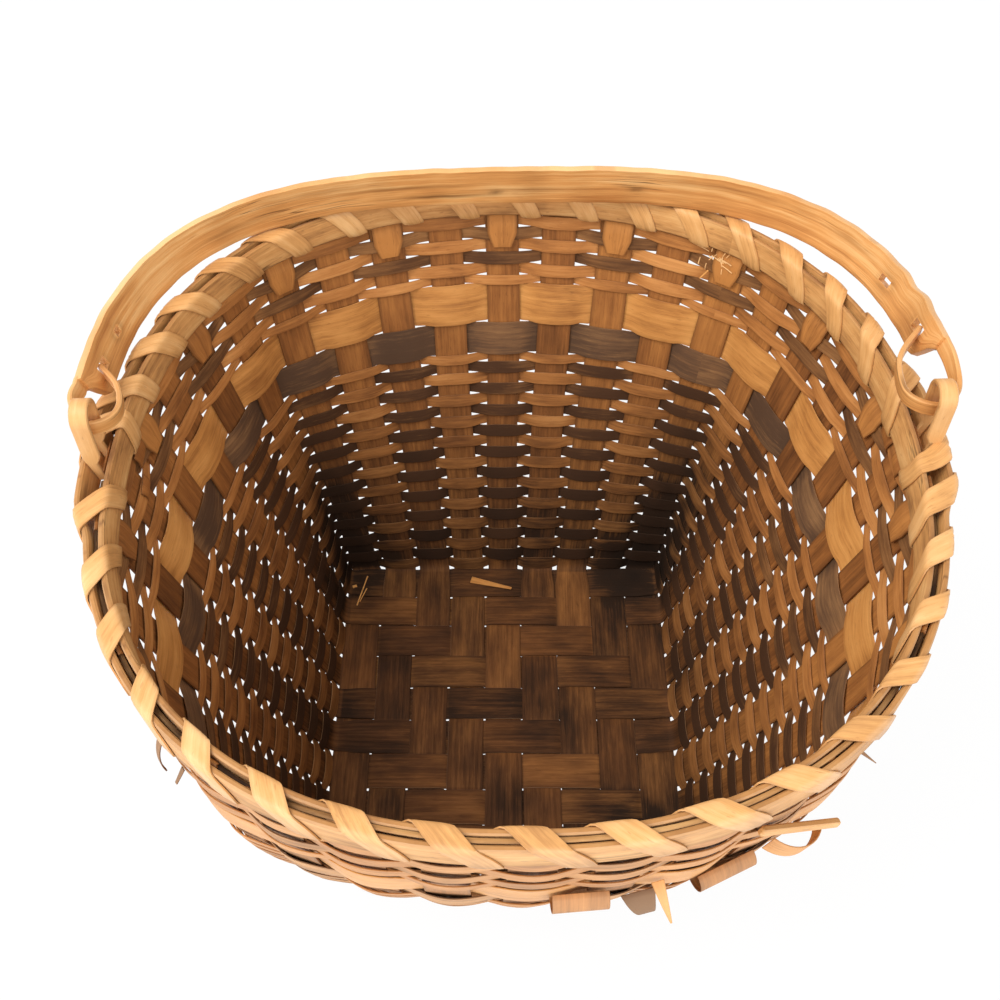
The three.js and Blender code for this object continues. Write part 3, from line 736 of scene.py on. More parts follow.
    def fold_rows(self, flat: Array, rising: Array, corner: Array) -> Array:
        """Rounds the turn from the base into the wall.

        Args:
            flat: The last row on the base.
            rising: The first row of the wall.
            corner: The row where the two would meet.

        Returns:
            The rows between the two.
        """
        rows = []
        for share in np.linspace(0, 1, self.fold_steps + 2)[1:-1]:
            rows.append((1 - share) ** 2 * flat + 2 * share * (1 - share) * corner + share**2 * rising)
        return np.array(rows)

    def route(self, index: int, is_cross: bool) -> SplintRoute:
        """Where a splint lies, by its number in its direction.

        Args:
            index: Which splint of its direction.
            is_cross: Whether it runs across the basket.

        Returns:
            Its route.
        """
        side = self.wall.splints_per_side
        offset = (index - (side - 1) / 2) * self.wall.splint_pitch
        right, back = np.array([1.0, 0, 0]), np.array([0, 1.0, 0])
        if is_cross:
            return SplintRoute(right, back, -offset * back, side + index, 4 * side - 1 - index)
        return SplintRoute(-back, right, offset * right, side - 1 - index, 2 * side + index)

    def base_rows(
        self, route: SplintRoute, along: Array, spread: Array, levels: Array, rng: Rng
    ) -> Array:
        """The part of a splint that lies in the base.

        Args:
            route: Where the splint lies.
            along: Distances from the middle of the base.
            spread: Half-width positions across the splint, in millimetres.
            levels: Up or down at each crossing.
            rng: Its seeded generator.

        Returns:
            A grid of points.
        """
        half = spread[-1]
        base_half = self.base_half + rng.uniform(*self.base_spread)
        base_half = base_half + self.base_waver * drift(along / self.base_wave, rng, waves=(1.7, 3.9))
        wide = half + (base_half - half) * (1 - ease(np.abs(along), self.narrow_from, self.fold_start))
        drifted = self.base_drift * drift(along / self.base_wave, rng, waves=(0.8, 1.9))
        places = spread / half * wide[:, None] + drifted[:, None]
        flat = route.origin + along[:, None, None] * route.forward + places[..., None] * route.across
        cup = self.cup * (1 - (spread / half) ** 2)
        flat[..., 2] = self.base_height(along, levels)[:, None] + cup
        return flat

    def float_numbers(self, along: Array, levels: Array) -> Array:
        """Which float each place on the base belongs to, a float being a run between two changes of level."""
        numbers = np.cumsum(np.concatenate([[0], np.diff(levels) != 0])).astype(int)
        last = len(levels) - 1
        crossing = np.clip(np.round(along / self.wall.splint_pitch + last / 2), 0, last)
        return numbers[crossing.astype(int)]

    def strip(self, index: int, is_cross: bool, rng: Rng) -> Strip:
        """Lays out one whole splint: down one wall, across the base and up the other.

        Args:
            index: Which splint of its direction.
            is_cross: Whether it runs across the basket.
            rng: Its seeded generator.

        Returns:
            The strip, ready to build.
        """
        levels = self.levels(index, is_cross)
        route = self.route(index, is_cross)
        half = self.wall.splint_width / 2 + rng.uniform(*self.width_spread)
        spread = np.linspace(-half, half, self.points_across)
        along = np.linspace(-self.fold_start, self.fold_start, self.base_steps + 1)
        flat = self.base_rows(route, along, spread, levels, rng)
        # The uprights are counted round the basket, which may run against the splint's own across direction
        first_sign, last_sign = (
            math.copysign(1.0, np.dot(self.wall.upright(k, self.fold_height)[1], route.across[:2]))
            for k in (route.first, route.last)
        )
        up_first, tail_first = self.wall_run(route.first, first_sign * spread, rng)
        up_last, tail_last = self.wall_run(route.last, last_sign * spread, rng)
        base_half = self.wall.splint_pitch * self.wall.splints_per_side / 2
        to_corner = route.forward * (base_half - self.fold_start)
        points = np.concatenate([
            up_first[::-1],
            self.fold_rows(flat[0], up_first[0], flat[0] - to_corner)[::-1],
            flat,
            self.fold_rows(flat[-1], up_last[0], flat[-1] + to_corner),
            up_last,
        ])
        where = np.linspace(0, 1, len(points))
        early, late = self.wall_tone_ends
        tone = rng.normal(0, self.wall_tone) * (1 - ease(where, early, late))
        tone = tone + rng.normal(0, self.wall_tone) * ease(where, 1 - late, 1 - early)
        tone += self.slow_tone * drift(where, rng, waves=(1.8, 3.9, 8.7))
        tone[:len(up_first)] += self.tail_tone * tail_first[::-1]
        tone[-len(up_last):] += self.tail_tone * tail_last
        floats = self.float_numbers(along, levels)
        wear = np.zeros(len(points))
        base = slice(len(up_first) + self.fold_steps, len(up_first) + self.fold_steps + len(along))
        wear[base] = rng.normal(0, self.splint_wear) + rng.normal(0, self.float_wear, len(levels))[floats]
        tone[base] += rng.normal(0, self.float_tone, len(levels))[floats]
        return Strip(
            f"{'cross' if is_cross else 'lengthwise'}_splint_{index + 1}", points, self.thickness, tone=tone,
            stain=np.maximum(self.looks.dirt.on_splint(points) + wear[:, None], 0),
            grain_start=rng.uniform(0, GRAIN_REACH),
        )


# Rim


@dataclass
class Rim:
    """Two hoops with a filler strand between them, bound by one lashing."""

    wall: WallPlan
    looks: "Looks"
    bottom: float = 216.6
    hoop_thickness: float = 2.7
    inner_face: float = -2.35
    outer_face: float = 1.05
    ear_stand: float = 5.0
    ear_reach: Span = (0.75, 1.5)
    hoop_wander: float = 0.15
    hoop_bottom_rise: float = 0.1
    hoop_top_drop: float = 0.25
    hoop_top_wander: float = 0.35
    hoop_tone: float = 0.3
    hoop_bevel: float = 0.7
    filler_height: float = 226.6
    filler_rise: float = 2.8
    filler_rises: Span = (18.5, 20.5)
    filler_falls: Span = (25.5, 27.5)
    filler_end_gap: float = 0.42
    filler_out: float = -0.65
    filler_half: float = 0.85
    filler_bow: float = 0.5
    filler_thickness: float = 1.4
    filler_wander: float = 0.4
    filler_sway: float = 0.3
    # Painted shade on the filler strands, for the dark gap between the hoops
    filler_shade: float = 0.95
    filler_shade_drop: float = 0.55
    lashing_width: float = 10.4
    lashing_thickness: float = 0.8
    lashing_slack: float = 0.1
    lashing_gap: float = 0.35
    lashing_bow: float = 0.25
    lashing_tone: float = 0.5
    lashing_pace_height: float = 225.0
    lashing_flat_share: float = 0.1
    lashing_evenness: float = 0.55
    lashing_steps: int = 30
    lashing_points_across: int = 7
    over_at_ear: float = 0.02
    over_before_ear: float = 0.37
    turn_jitter: float = 0.012
    width_jitter: float = 0.05
    corner: float = 2.0
    steps: int = 10
    points_up: int = 5
    seed: int = 404

    def stand(self, place: Array) -> Array:
        """How far the outer hoop stands off beside an ear."""
        whole = self.wall.count
        away = [np.abs((place - ear + whole / 2) % whole - whole / 2) for ear in self.wall.ear_places]
        return self.ear_stand * (1 - ease(np.min(away, axis=0), *self.ear_reach))

    def build(self) -> None:
        """Makes and dresses the hoops, the filler strands and the lashing."""
        self.hoop("inner_hoop", self.inner_face - self.hoop_thickness / 2, False)
        self.hoop("outer_hoop", self.outer_face + self.hoop_thickness / 2, True)
        self.fillers()
        self.lashing()

    def hoop(self, name: str, middle: float, outer: bool) -> None:
        """Makes one hoop, a tall closed strip with rounded edges.

        Args:
            name: The hoop's node.
            middle: Its middle, outward from the wall.
            outer: Whether it is the one outside.
        """
        rng = np.random.default_rng(self.seed + outer)
        place = np.linspace(0, self.wall.count, self.wall.count * self.steps + 1)
        turn = place / self.wall.count
        out = middle + (self.stand(place) if outer else 0.0)
        out = out + self.hoop_wander * drift(turn, rng, waves=(9, 17))
        top = self.wall.rim_top - self.hoop_top_drop
        top = top + self.hoop_top_wander * drift(turn, rng, waves=(4, 9, 21))
        low = self.bottom + self.hoop_bottom_rise
        height = low + np.linspace(0, 1, self.points_up) * (top - low)[:, None]
        points = self.wall.surface(place[:, None], height, out[:, None])
        points[-1] = points[0]
        strip = Strip(
            name, points, self.hoop_thickness, closed=True,
            tone=(self.hoop_tone * drift(turn, rng, waves=(2, 5, 11)))[:, None],
            stain=self.looks.dirt.on_rim(points), grain_start=rng.uniform(0, GRAIN_REACH),
            edge_bevel=self.hoop_bevel,
        )
        self.looks.dress(strip.build(), BASKET, "hoop", name)

    def fillers(self) -> None:
        """Makes the two strands that lie on the uprights' ends, from ear to ear."""
        left, right = self.wall.ear_places
        for name, start, end in (
            ("rim_filler_front", left, right), ("rim_filler_back", right, left + self.wall.count),
        ):
            rng = np.random.default_rng(self.seed + len(name))
            place = np.linspace(
                start + self.filler_end_gap, end - self.filler_end_gap, self.wall.count // 2 * self.steps
            )
            turn = place / self.wall.count
            risen = ease(place, *self.filler_rises) * (1 - ease(place, *self.filler_falls))
            height = self.filler_height + self.filler_rise * risen
            height = height + self.filler_wander * drift(turn, rng, waves=(6, 13))
            out = self.filler_out + self.filler_sway * drift(turn, rng, waves=(5, 15))
            across = np.linspace(-self.filler_half, self.filler_half, 3)
            bow = self.filler_bow * (1 - (across / self.filler_half) ** 2)
            points = self.wall.surface(place[:, None], height[:, None] + bow, out[:, None] + across)
            # Painted shade: the strands are darkened to stand for the deep shadow in the gap between the
            # hoops, less where they are raised
            strip = Strip(
                name, points, self.filler_thickness, tone=0.4, grain_start=3.0, edge_bevel=0.3,
                stain=(self.filler_shade - self.filler_shade_drop * risen)[:, None],
            )
            self.looks.dress(strip.build(), BASKET, "hoop", name)

    def profile(self, place: Array, travel: Array, lift: float) -> Array:
        """A point on the skin round the hoops.

        Args:
            place: Position round the basket.
            travel: Distance round the rim's section, from the middle underneath, up the inside first.
            lift: Height above the skin.

        Returns:
            Points in millimetres.
        """
        grow = self.lashing_gap + lift
        inner = self.inner_face - self.hoop_thickness - grow
        outer = self.outer_face + self.hoop_thickness + grow + self.stand(place)
        low, high = self.bottom - grow, self.wall.rim_top + grow
        width, tall = outer - inner, high - low
        share = np.mod(travel / self.section_length(self.hoops_width(place)), 1.0)
        # The section is walked as an oblong: inward, up the inside, over, down the outside and back under
        run = share * 2 * (width + tall)
        over = run - width / 2 - tall
        out = (inner + outer) / 2 - np.clip(run, 0, width / 2) + np.clip(over, 0, width)
        out = out - np.clip(over - width - tall, 0, width / 2)
        height = low + np.clip(run - width / 2, 0, tall) - np.clip(over - width, 0, tall)
        # Corners are rounded by pulling each point in towards the corner's own circle
        centre_out = np.clip(out, inner + self.corner, outer - self.corner)
        centre_height = np.clip(height, low + self.corner, high - self.corner)
        away = np.stack([out - centre_out, height - centre_height], axis=-1)
        shrink = self.corner / np.maximum(np.linalg.norm(away, axis=-1), self.corner)
        out, height = centre_out + away[..., 0] * shrink, centre_height + away[..., 1] * shrink
        return self.wall.surface(place, height, out)

    def hoops_width(self, place: Array) -> Array:
        """Width across both hoops at a place."""
        return self.outer_face - self.inner_face + 2 * self.hoop_thickness + self.stand(place)

    def section_length(self, width: Array) -> Array:
        """Length once round the rim's section."""
        return 2 * (width + self.wall.rim_top - self.bottom)

    def turn_share(self, k: int) -> float:
        """Where turn k goes over the top, as a share of the way to the next gap."""
        if k + 1 in self.wall.ear_places:
            return self.over_at_ear
        return self.over_before_ear if k + 2 in self.wall.ear_places else 0.5

    def lashing(self) -> None:
        """Winds the lashing: in under the hoops, up the inside, over the top and down the outside."""
        rng = np.random.default_rng(self.seed + 9)
        share = np.arange(self.lashing_steps) / self.lashing_steps
        climb = np.clip((share - self.lashing_flat_share) / (1 - 2 * self.lashing_flat_share), 0, 1)
        eased = self.lashing_evenness * climb + (1 - self.lashing_evenness) * smoothstep(climb)
        places = []
        for k in range(self.wall.count):
            onward = eased + 4 * eased * (1 - eased) * (self.turn_share(k) - 0.5)
            places.append(k + 0.5 + onward + rng.normal(0, self.turn_jitter))
        place = np.concatenate([*places, [places[0][0] + self.wall.count]])
        share = np.concatenate([np.tile(share, self.wall.count), [0.0]])
        turns_done = np.arange(len(share)) / self.lashing_steps
        length = self.section_length(self.hoops_width(place))
        pace = self.wall.pace(place, self.lashing_pace_height)
        run = np.gradient(turns_done) * length
        step = np.gradient(place) * pace
        size = np.hypot(run, step)
        across = np.linspace(-1, 1, self.lashing_points_across)
        half = self.lashing_width / 2 * (1 + self.width_jitter * drift(turns_done, rng, waves=(0.37, 0.9)))
        side_place = (run / size / pace * half)[:, None] * across
        side_travel = (-step / size * half)[:, None] * across
        bow = self.lashing_thickness / 2 + self.lashing_bow * (1 - across**2)
        points = self.profile(place[:, None] + side_place, (share * length)[:, None] + side_travel, bow)
        points[-1] = points[0]
        tones = rng.normal(0, self.lashing_tone, self.wall.count + 1)
        tones[-1] = tones[0]
        tone = np.interp(turns_done, np.arange(self.wall.count + 1), tones)
        strip = Strip(
            "rim_lashing", points, self.lashing_thickness - self.lashing_slack, closed=True,
            tone=tone[:, None], stain=self.looks.dirt.on_rim(points), grain_start=5.0, edge_bevel=0.14,
        )
        self.looks.dress(strip.build(), BASKET, "lashing", strip.name)


# Handle and the ears that carry it


class End(Enum):
    """The two ends of the handle, named by the side of the basket."""

    LEFT = -1
    RIGHT = 1


@dataclass(frozen=True)
class HandleEnd:
    """Sizes of one end of the handle, measured from the turning line."""

    shoulder: float
    ring_half_width: float
    ring_outward: float
    slot_radius: float
    notch_radius: float
    notch_length: float


@dataclass(frozen=True)
class Mark:
    """A crack, knot or streak on the band, in shares of the band's length and of its half width."""

    along: float
    beside: float
    length: float
    width: float
    depth: float


@dataclass
class Handle:
    """The bentwood band, its two curled tails and the two bent ears."""

    wall: WallPlan
    looks: "Looks"
    marks: tuple[Mark, ...] = (
        Mark(0.445, -0.45, 0.05, 0.1, 0.75), Mark(0.40, 0.15, 0.07, 0.1, 0.4),
        Mark(0.54, -0.2, 0.06, 0.12, 0.4), Mark(0.50, -0.3, 0.007, 0.14, 0.6),
        Mark(0.647, -0.1, 0.007, 0.14, 0.55), Mark(0.33, 0.5, 0.05, 0.14, 0.3),
        Mark(0.72, 0.55, 0.06, 0.12, 0.35), Mark(0.24, -0.2, 0.04, 0.14, 0.25),
        Mark(0.86, 0.4, 0.03, 0.14, 0.3),
    )
    pivot_rise: float = 15.0
    half_span: float = 191.0
    shift: float = 2.5
    inner_height: float = 171.0
    squareness: float = 2.95
    width: float = 21.0
    thickness: float = 4.5
    thickness_slack: float = 0.4
    tail_thickness: float = 2.4
    tail_width: float = 8.2
    tail_tip_width: float = 5.0
    shoulder_length: float = 2.5
    shoulder_curve: float = 10.0
    end_twist: float = math.radians(24.0)
    twist_from: float = 15.0
    twist_to: float = 190.0
    edge_set_in: float = 0.4
    edge_wander: float = 0.3
    edge_segments: int = 3
    chip_depth: float = 0.9
    chips_start: Span = (0.9, 0.93)
    chips_end: Span = (0.975, 0.995)
    bump: float = 0.22
    bump_in_middle: float = 0.4
    right_bump: float = 0.3
    right_starts: Span = (0.72, 0.82)
    tip_depth: float = 2.0
    slot_length: float = 9.0
    slot_width: float = 5.4
    notch_width: float = 3.8
    # Painted shade round the slots and notches
    opening_shade: float = 0.8
    opening_reach: float = 4.5
    opening_half: float = 0.3
    streak_stain: float = 0.15
    low_edge_dark: float = 0.12
    near_low_edge: float = -0.8
    near_top_edge: float = 0.99
    bumpy_above: float = 0.5
    slow_tone: float = 0.45
    side_tone: float = 0.4
    # Painted highlight along the band's top edge
    top_edge_highlight: float = 1.3
    tail_turns: Span = (0.04, 0.4)
    tail_overlap: float = 0.8
    tail_tones: Span = (0.8, -0.4)
    lashing_cover: float = 1.1
    rest_gap: float = 0.4
    ear_width: float = 8.2
    ear_foot_width: float = 4.2
    ear_narrows: Span = (-1.0, 4.0)
    ear_thickness: float = 2.2
    ear_hole: float = 5.6
    ear_rise: float = 11.6
    ear_foot_depth: float = 11.0
    ear_shift: float = 2.5
    ear_tang_out: float = 3.3
    ear_leg_points: int = 14
    ear_arc_steps: int = 14
    steps: int = 200
    inner_points_across: int = 13
    tail_points: int = 70
    seed: int = 7
    ends: dict[End, HandleEnd] = field(default_factory=lambda: {
        End.LEFT: HandleEnd(21.8, 12.0, 6.0, 39.0, 63.0, 4.5),
        End.RIGHT: HandleEnd(36.0, 13.0, 10.5, 53.0, 88.0, 8.0),
    })
    pivot_height: float = field(init=False)
    axis: Array = field(init=False)
    across_axis: Array = field(init=False)
    centres: list[Array] = field(init=False)
    pivot: Array = field(init=False)
    half_line: float = field(init=False)
    turn: Matrix = field(init=False)

    def __post_init__(self) -> None:
        """Finds the turning line and the handle's place at rest."""
        turn = math.radians(self.wall.rim_twist_degrees)
        self.pivot_height = self.wall.rim_top + self.pivot_rise
        self.axis = np.array([math.cos(turn), math.sin(turn), 0.0])
        self.across_axis = np.array([-math.sin(turn), math.cos(turn), 0.0])
        self.centres = []
        for place in self.wall.ear_places:
            beside = self.wall.surface(place, self.wall.rim_top, self.ear_shift)
            self.centres.append(np.array([*beside[:2], self.pivot_height]))
        self.pivot = (self.centres[0] + self.centres[1]) / 2
        self.half_line = float(np.linalg.norm(self.centres[0] - self.centres[1]) / 2)
        drop = self.pivot_rise - self.width / 2 - self.lashing_cover - self.rest_gap
        tilt = math.asin(drop / self.inner_height)
        self.turn = Matrix.Rotation(turn, 3, "Z") @ Matrix.Rotation(-tilt, 3, "X")

    def build(self) -> None:
        """Makes and dresses the band, the tails and the ears."""
        self.looks.dress(self.band(), HANDLE, "handle", "handle")
        for end in End:
            self.looks.dress(self.tail(end), HANDLE, "handle")
        for index, name in enumerate(("ear_left", "ear_right")):
            self.looks.dress(self.ear(index, name), BASKET, "lashing", name)

    def to_rest(self, points: Array) -> Array:
        """Moves points from the handle's own plane to where it rests."""
        return points @ np.array(self.turn).T + self.pivot

    def curve(self, angle: Array) -> Array:
        """The band's middle line in its own plane, at angles from the turning line.

        Args:
            angle: The angles.

        Returns:
            Points in the band's plane.
        """
        span = self.half_span + self.thickness / 2
        height = self.inner_height + self.thickness / 2
        across = np.abs(np.cos(angle) / span) ** self.squareness
        along = np.abs(np.sin(angle) / height) ** self.squareness
        radius = (across + along) ** (-1 / self.squareness)
        return np.stack([self.shift + radius * np.cos(angle), radius * np.sin(angle)], axis=-1)

    def angle_at(self, distance: float, end: End) -> float:
        """The angle at which the band is a distance from the turning line."""
        angles = np.linspace(0, math.pi / 2, 4001)
        angle = float(np.interp(distance, self.curve(angles)[:, 1], angles))
        return math.pi - angle if end is End.LEFT else angle

    def heading(self, angle: float) -> Array:
        """The band's direction at an angle, from left to right."""
        step = self.curve(np.array(angle - 0.001)) - self.curve(np.array(angle + 0.001))
        return step / np.linalg.norm(step)

    def twist(self, from_end: Array | float) -> Array | float:
        """How far the band's section is turned, upper edge outward, at a distance from its nearer end."""
        return self.end_twist * (1 - ease(from_end, self.twist_from, self.twist_to))

    def edges(self, share: Array, from_end: Array, rng: Rng) -> tuple[Array, Array]:
        """Where the band's two edges run.

        Args:
            share: Places along the band, from 0 to 1.
            from_end: Distance of each place from the nearer end.
            rng: Its seeded generator.

        Returns:
            The lower and the upper edge. The lower one comes up to the tail's strip at each end.
        """
        half = self.width / 2
        top = half + self.edge_wander * drift(share, rng, waves=(9, 17, 31)) - self.edge_set_in
        low = -half - self.edge_wander * drift(share, rng, waves=(7, 13, 29)) + self.edge_set_in
        kept = ease(from_end, 0.0, self.shoulder_curve)
        low = kept * low + (1 - kept) * (half - self.tail_width)
        chipped = ease(share, *self.chips_start) * (1 - ease(share, *self.chips_end))
        return low, top + self.chip_depth * chipped * drift(share, rng, waves=(19, 31))

    def bumps(self, share: Array, across: Array, rng: Rng) -> Array:
        """How far each point of the band's grid stands off its smooth face."""
        slow = self.bump * drift(share, rng, waves=(5, 11, 23, 41))[:, None]
        slow = slow * (self.bump_in_middle + (1 - self.bump_in_middle) * across**2)
        right = self.right_bump * ease(share, *self.right_starts)[:, None]
        return slow + right * drift(share, rng, waves=(17, 29))[:, None] * (across > self.bumpy_above)

    def stains(self, share: Array, across: Array, lengths: Array, rng: Rng) -> Array:
        """Dirt and painted shade on the band: faint streaks, a darker lower edge, the marks, and painted
        shade round the openings.

        Args:
            share: Places along the band, from 0 to 1.
            across: Places across it, from -1 at the lower edge to 1.
            lengths: Distance of each place along the band from its left end.
            rng: Its seeded generator.

        Returns:
            One value for each point of the band's grid.
        """
        stain = self.streak_stain * np.maximum(0, drift(share, rng, waves=(3, 7, 19)))[:, None]
        # Darker along the lower edge
        stain = stain + self.low_edge_dark * (across < self.near_low_edge)
        for mark in self.marks:
            spot = np.exp(-((share - mark.along) / mark.length) ** 2)[:, None]
            stain = stain + mark.depth * spot * np.exp(-((across - mark.beside) / mark.width) ** 2)
        # Painted shade round the slots and notches, where the openings are dark
        beside = np.exp(-((across / self.opening_half) ** 2))
        for end, sizes in self.ends.items():
            from_end = lengths if end is End.LEFT else lengths[-1] - lengths
            for radius in (sizes.slot_radius, sizes.notch_radius):
                near = np.exp(-((from_end + sizes.shoulder - radius) / self.opening_reach) ** 2)[:, None]
                stain = stain + self.opening_shade * near * beside
        return stain

    def band(self) -> bpy.types.Object:
        """The flat bent band with its slots and notches cut through.

        Returns:
            The finished piece.
        """
        rng = np.random.default_rng(self.seed)
        start, stop = (self.angle_at(self.ends[end].shoulder, end) for end in (End.LEFT, End.RIGHT))
        angles = np.linspace(start, stop, self.steps + 1)
        middle = self.curve(angles)
        share = np.linspace(0, 1, self.steps + 1)
        across = np.concatenate([[-1.0], np.linspace(-0.95, 0.95, self.inner_points_across), [1.0]])
        lengths = run_lengths(middle)
        from_end = np.minimum(lengths, lengths[-1] - lengths)
        low_edge, top_edge = self.edges(share, from_end, rng)
        side = low_edge[:, None] + (across + 1) / 2 * (top_edge - low_edge)[:, None]
        twist = self.twist(from_end)[:, None]
        headings = np.array([self.heading(float(angle)) for angle in angles])
        normal = np.stack([-headings[:, 1], headings[:, 0]], axis=1)
        off_face = self.bumps(share, across, rng) + side * np.sin(twist)
        points = np.zeros((*side.shape, 3))
        points[..., :2] = middle[:, None] + off_face[..., None] * normal[:, None]
        points[..., 2] = side * np.cos(twist)
        stain = self.stains(share, across, lengths, rng)
        # Tone lightens towards the band's upper edge, and the top edge itself gets a painted highlight
        tone = self.slow_tone * drift(share, rng, waves=(1.3, 3.1))[:, None]
        tone = tone + self.side_tone * across + self.top_edge_highlight * (across > self.near_top_edge)
        piece = Strip(
            "handle_band", self.to_rest(points), self.thickness - self.thickness_slack,
            tone=tone, stain=stain, grain_start=2.0, edge_bevel=1.3, bevel_segments=self.edge_segments,
        ).build()
        for end, sizes in self.ends.items():
            self.cut(piece, sizes.slot_radius, end, self.slot_length, self.slot_width)
            self.cut(piece, sizes.notch_radius, end, sizes.notch_length, self.notch_width)
        soften(piece, degrees=50)
        return piece

    def cut(self, piece: bpy.types.Object, radius: float, end: End, length: float, width: float) -> None:
        """Cuts one straight opening through the band.

        Args:
            piece: The band.
            radius: Distance of the opening from the turning line.
            end: Which end of the handle.
            length: Length along the band.
            width: Width across the band.
        """
        angle = self.angle_at(radius, end)
        heading = self.heading(angle)
        place = self.to_rest(np.append(self.curve(np.array(angle)), 0.0))
        turn = self.turn @ Matrix.Rotation(math.atan2(heading[1], heading[0]), 3, "Z")
        turn = turn @ Matrix.Rotation(-float(self.twist(radius - self.ends[end].shoulder)), 3, "X")
        deselect()
        bpy.ops.mesh.primitive_cube_add(size=1, location=(0, 0, 0))
        cutter = bpy.context.object
        cutter.data.transform(Matrix.Diagonal((length * MM, self.thickness * 3 * MM, width * MM, 1)))
        cutter.data.transform(Matrix.Translation(Vector(place * MM)) @ turn.to_4x4())
        apply_modifier(piece, "BOOLEAN", operation="DIFFERENCE", object=cutter, solver="EXACT")
        bpy.data.objects.remove(cutter, do_unlink=True)

    def tail_path(self, end: End) -> Array:
        """The tail's way from the band's end round the ear and back up into the slot, in the band's plane.

        Args:
            end: Which end of the handle.

        Returns:
            Points evenly spaced along it.
        """
        sizes, sign = self.ends[end], float(end.value)
        ear = sign * self.half_line
        wide, outer, low = sign * sizes.ring_half_width, sign * sizes.ring_outward, sizes.ring_half_width
        to_outer_face = np.array([sign * (self.thickness - self.tail_thickness) / 2, 0.0])
        leave, band_end, tip = (
            self.curve(np.array(self.angle_at(radius, end)))
            for radius in (sizes.shoulder - self.shoulder_length, sizes.shoulder, sizes.slot_radius)
        )
        leave, band_end = leave + to_outer_face, band_end + to_outer_face
        tip[0] -= sign * (self.thickness / 2 - self.tip_depth)
        slant = math.sqrt(0.5)
        inside = np.array([ear - wide, low])
        rising = np.array([ear - wide * slant, (low + tip[1]) / 2])
        ring = smooth_line(np.array([
            leave, [ear + outer, low], [ear + outer * slant, low * (1 - slant)], [ear, 0],
            [ear - wide * slant, low * (1 - slant)], inside, rising, tip,
        ]), 12)
        path = np.concatenate([[band_end + (band_end - leave) * self.tail_overlap, band_end], ring])
        lengths = run_lengths(path)
        even = np.linspace(0, lengths[-1], self.tail_points)
        return np.stack([np.interp(even, lengths, path[:, i]) for i in range(2)], axis=1)

    def tail(self, end: End) -> bpy.types.Object:
        """The thin tail that curls round an ear.

        Args:
            end: Which end of the handle.

        Returns:
            The finished piece.
        """
        path = self.tail_path(end)
        share = np.linspace(0, 1, len(path))
        half = (self.tail_width + (self.tail_tip_width - self.tail_width) * share**2) / 2
        in_line = 1 - ease(share, *self.tail_turns)
        lift = (self.width - self.tail_width) / 2 - self.edge_set_in
        side = (lift * in_line)[:, None] + np.linspace(-1, 1, 5) * half[:, None]
        twist = (self.end_twist * in_line)[:, None]
        points = np.zeros((*side.shape, 3))
        points[..., :2] = path[:, None]
        points[..., 0] += end.value * side * np.sin(twist)
        points[..., 2] = side * np.cos(twist)
        return Strip(
            f"handle_tail_{end.name.lower()}", self.to_rest(points), self.tail_thickness,
            tone=np.interp(share, (0, 1), self.tail_tones), stain=0.05, edge_bevel=0.6,
            grain_start=11.0 + end.value,
        ).build()

    def ear(self, index: int, name: str) -> bpy.types.Object:
        """One ear: a strip bent into a loop, with both feet tucked behind the outer hoop.

        Args:
            index: 0 for the left ear, 1 for the right.
            name: The ear's node.

        Returns:
            The finished piece.
        """
        sign = -1.0 if index == 0 else 1.0
        centre = self.centres[index]
        leg = self.ear_hole + self.ear_thickness / 2
        top = self.pivot_height + self.ear_rise - leg / 2
        legs = np.linspace(self.wall.rim_top - self.ear_foot_depth, top, self.ear_leg_points)
        arc = np.linspace(0, math.pi, self.ear_arc_steps + 1)[1:-1]
        rows = [(-leg, height) for height in legs]
        rows += [(-leg * math.cos(angle), top + leg * math.sin(angle)) for angle in arc]
        rows += [(leg, height) for height in legs[::-1]]
        points = []
        for across, height in rows:
            foot = self.wall.surface(self.wall.ear_places[index], height, self.ear_tang_out)
            inward = float(ease(height - self.wall.rim_top, *self.ear_narrows))
            out = float(np.dot(foot - centre, self.axis)) * sign * (1 - inward)
            half = (self.ear_foot_width + (self.ear_width - self.ear_foot_width) * inward) / 2
            middle = centre + self.across_axis * across + self.axis * sign * out
            middle[2] = height
            points.append(middle + np.linspace(-1, 1, 5)[:, None] * half * self.axis)
        return Strip(
            name, np.array(points), self.ear_thickness, tone=0.5, stain=0.08, grain_start=17.0, edge_bevel=0.5
        ).build()


# Loose and broken bits


@dataclass(frozen=True)
class Seat:
    """Where a loose bit starts: a point, the way it runs and the way it faces."""

    origin: Array
    direction: Array
    normal: Array


@dataclass(frozen=True)
class Bit:
    """One broken, curled or stray bit of splint, in millimetres and degrees."""

    name: str
    place: float
    height: float
    out: float
    heading: float
    length: float
    width: float
    curl: float = 0.0
    lift: float = 0.0
    end_share: float = 1.0
    slot: str = "light_weaver"
    tone: float = 0.0
    tip_tone: float = 0.0
    stain: float = 0.0
    thickness: float = 0.6


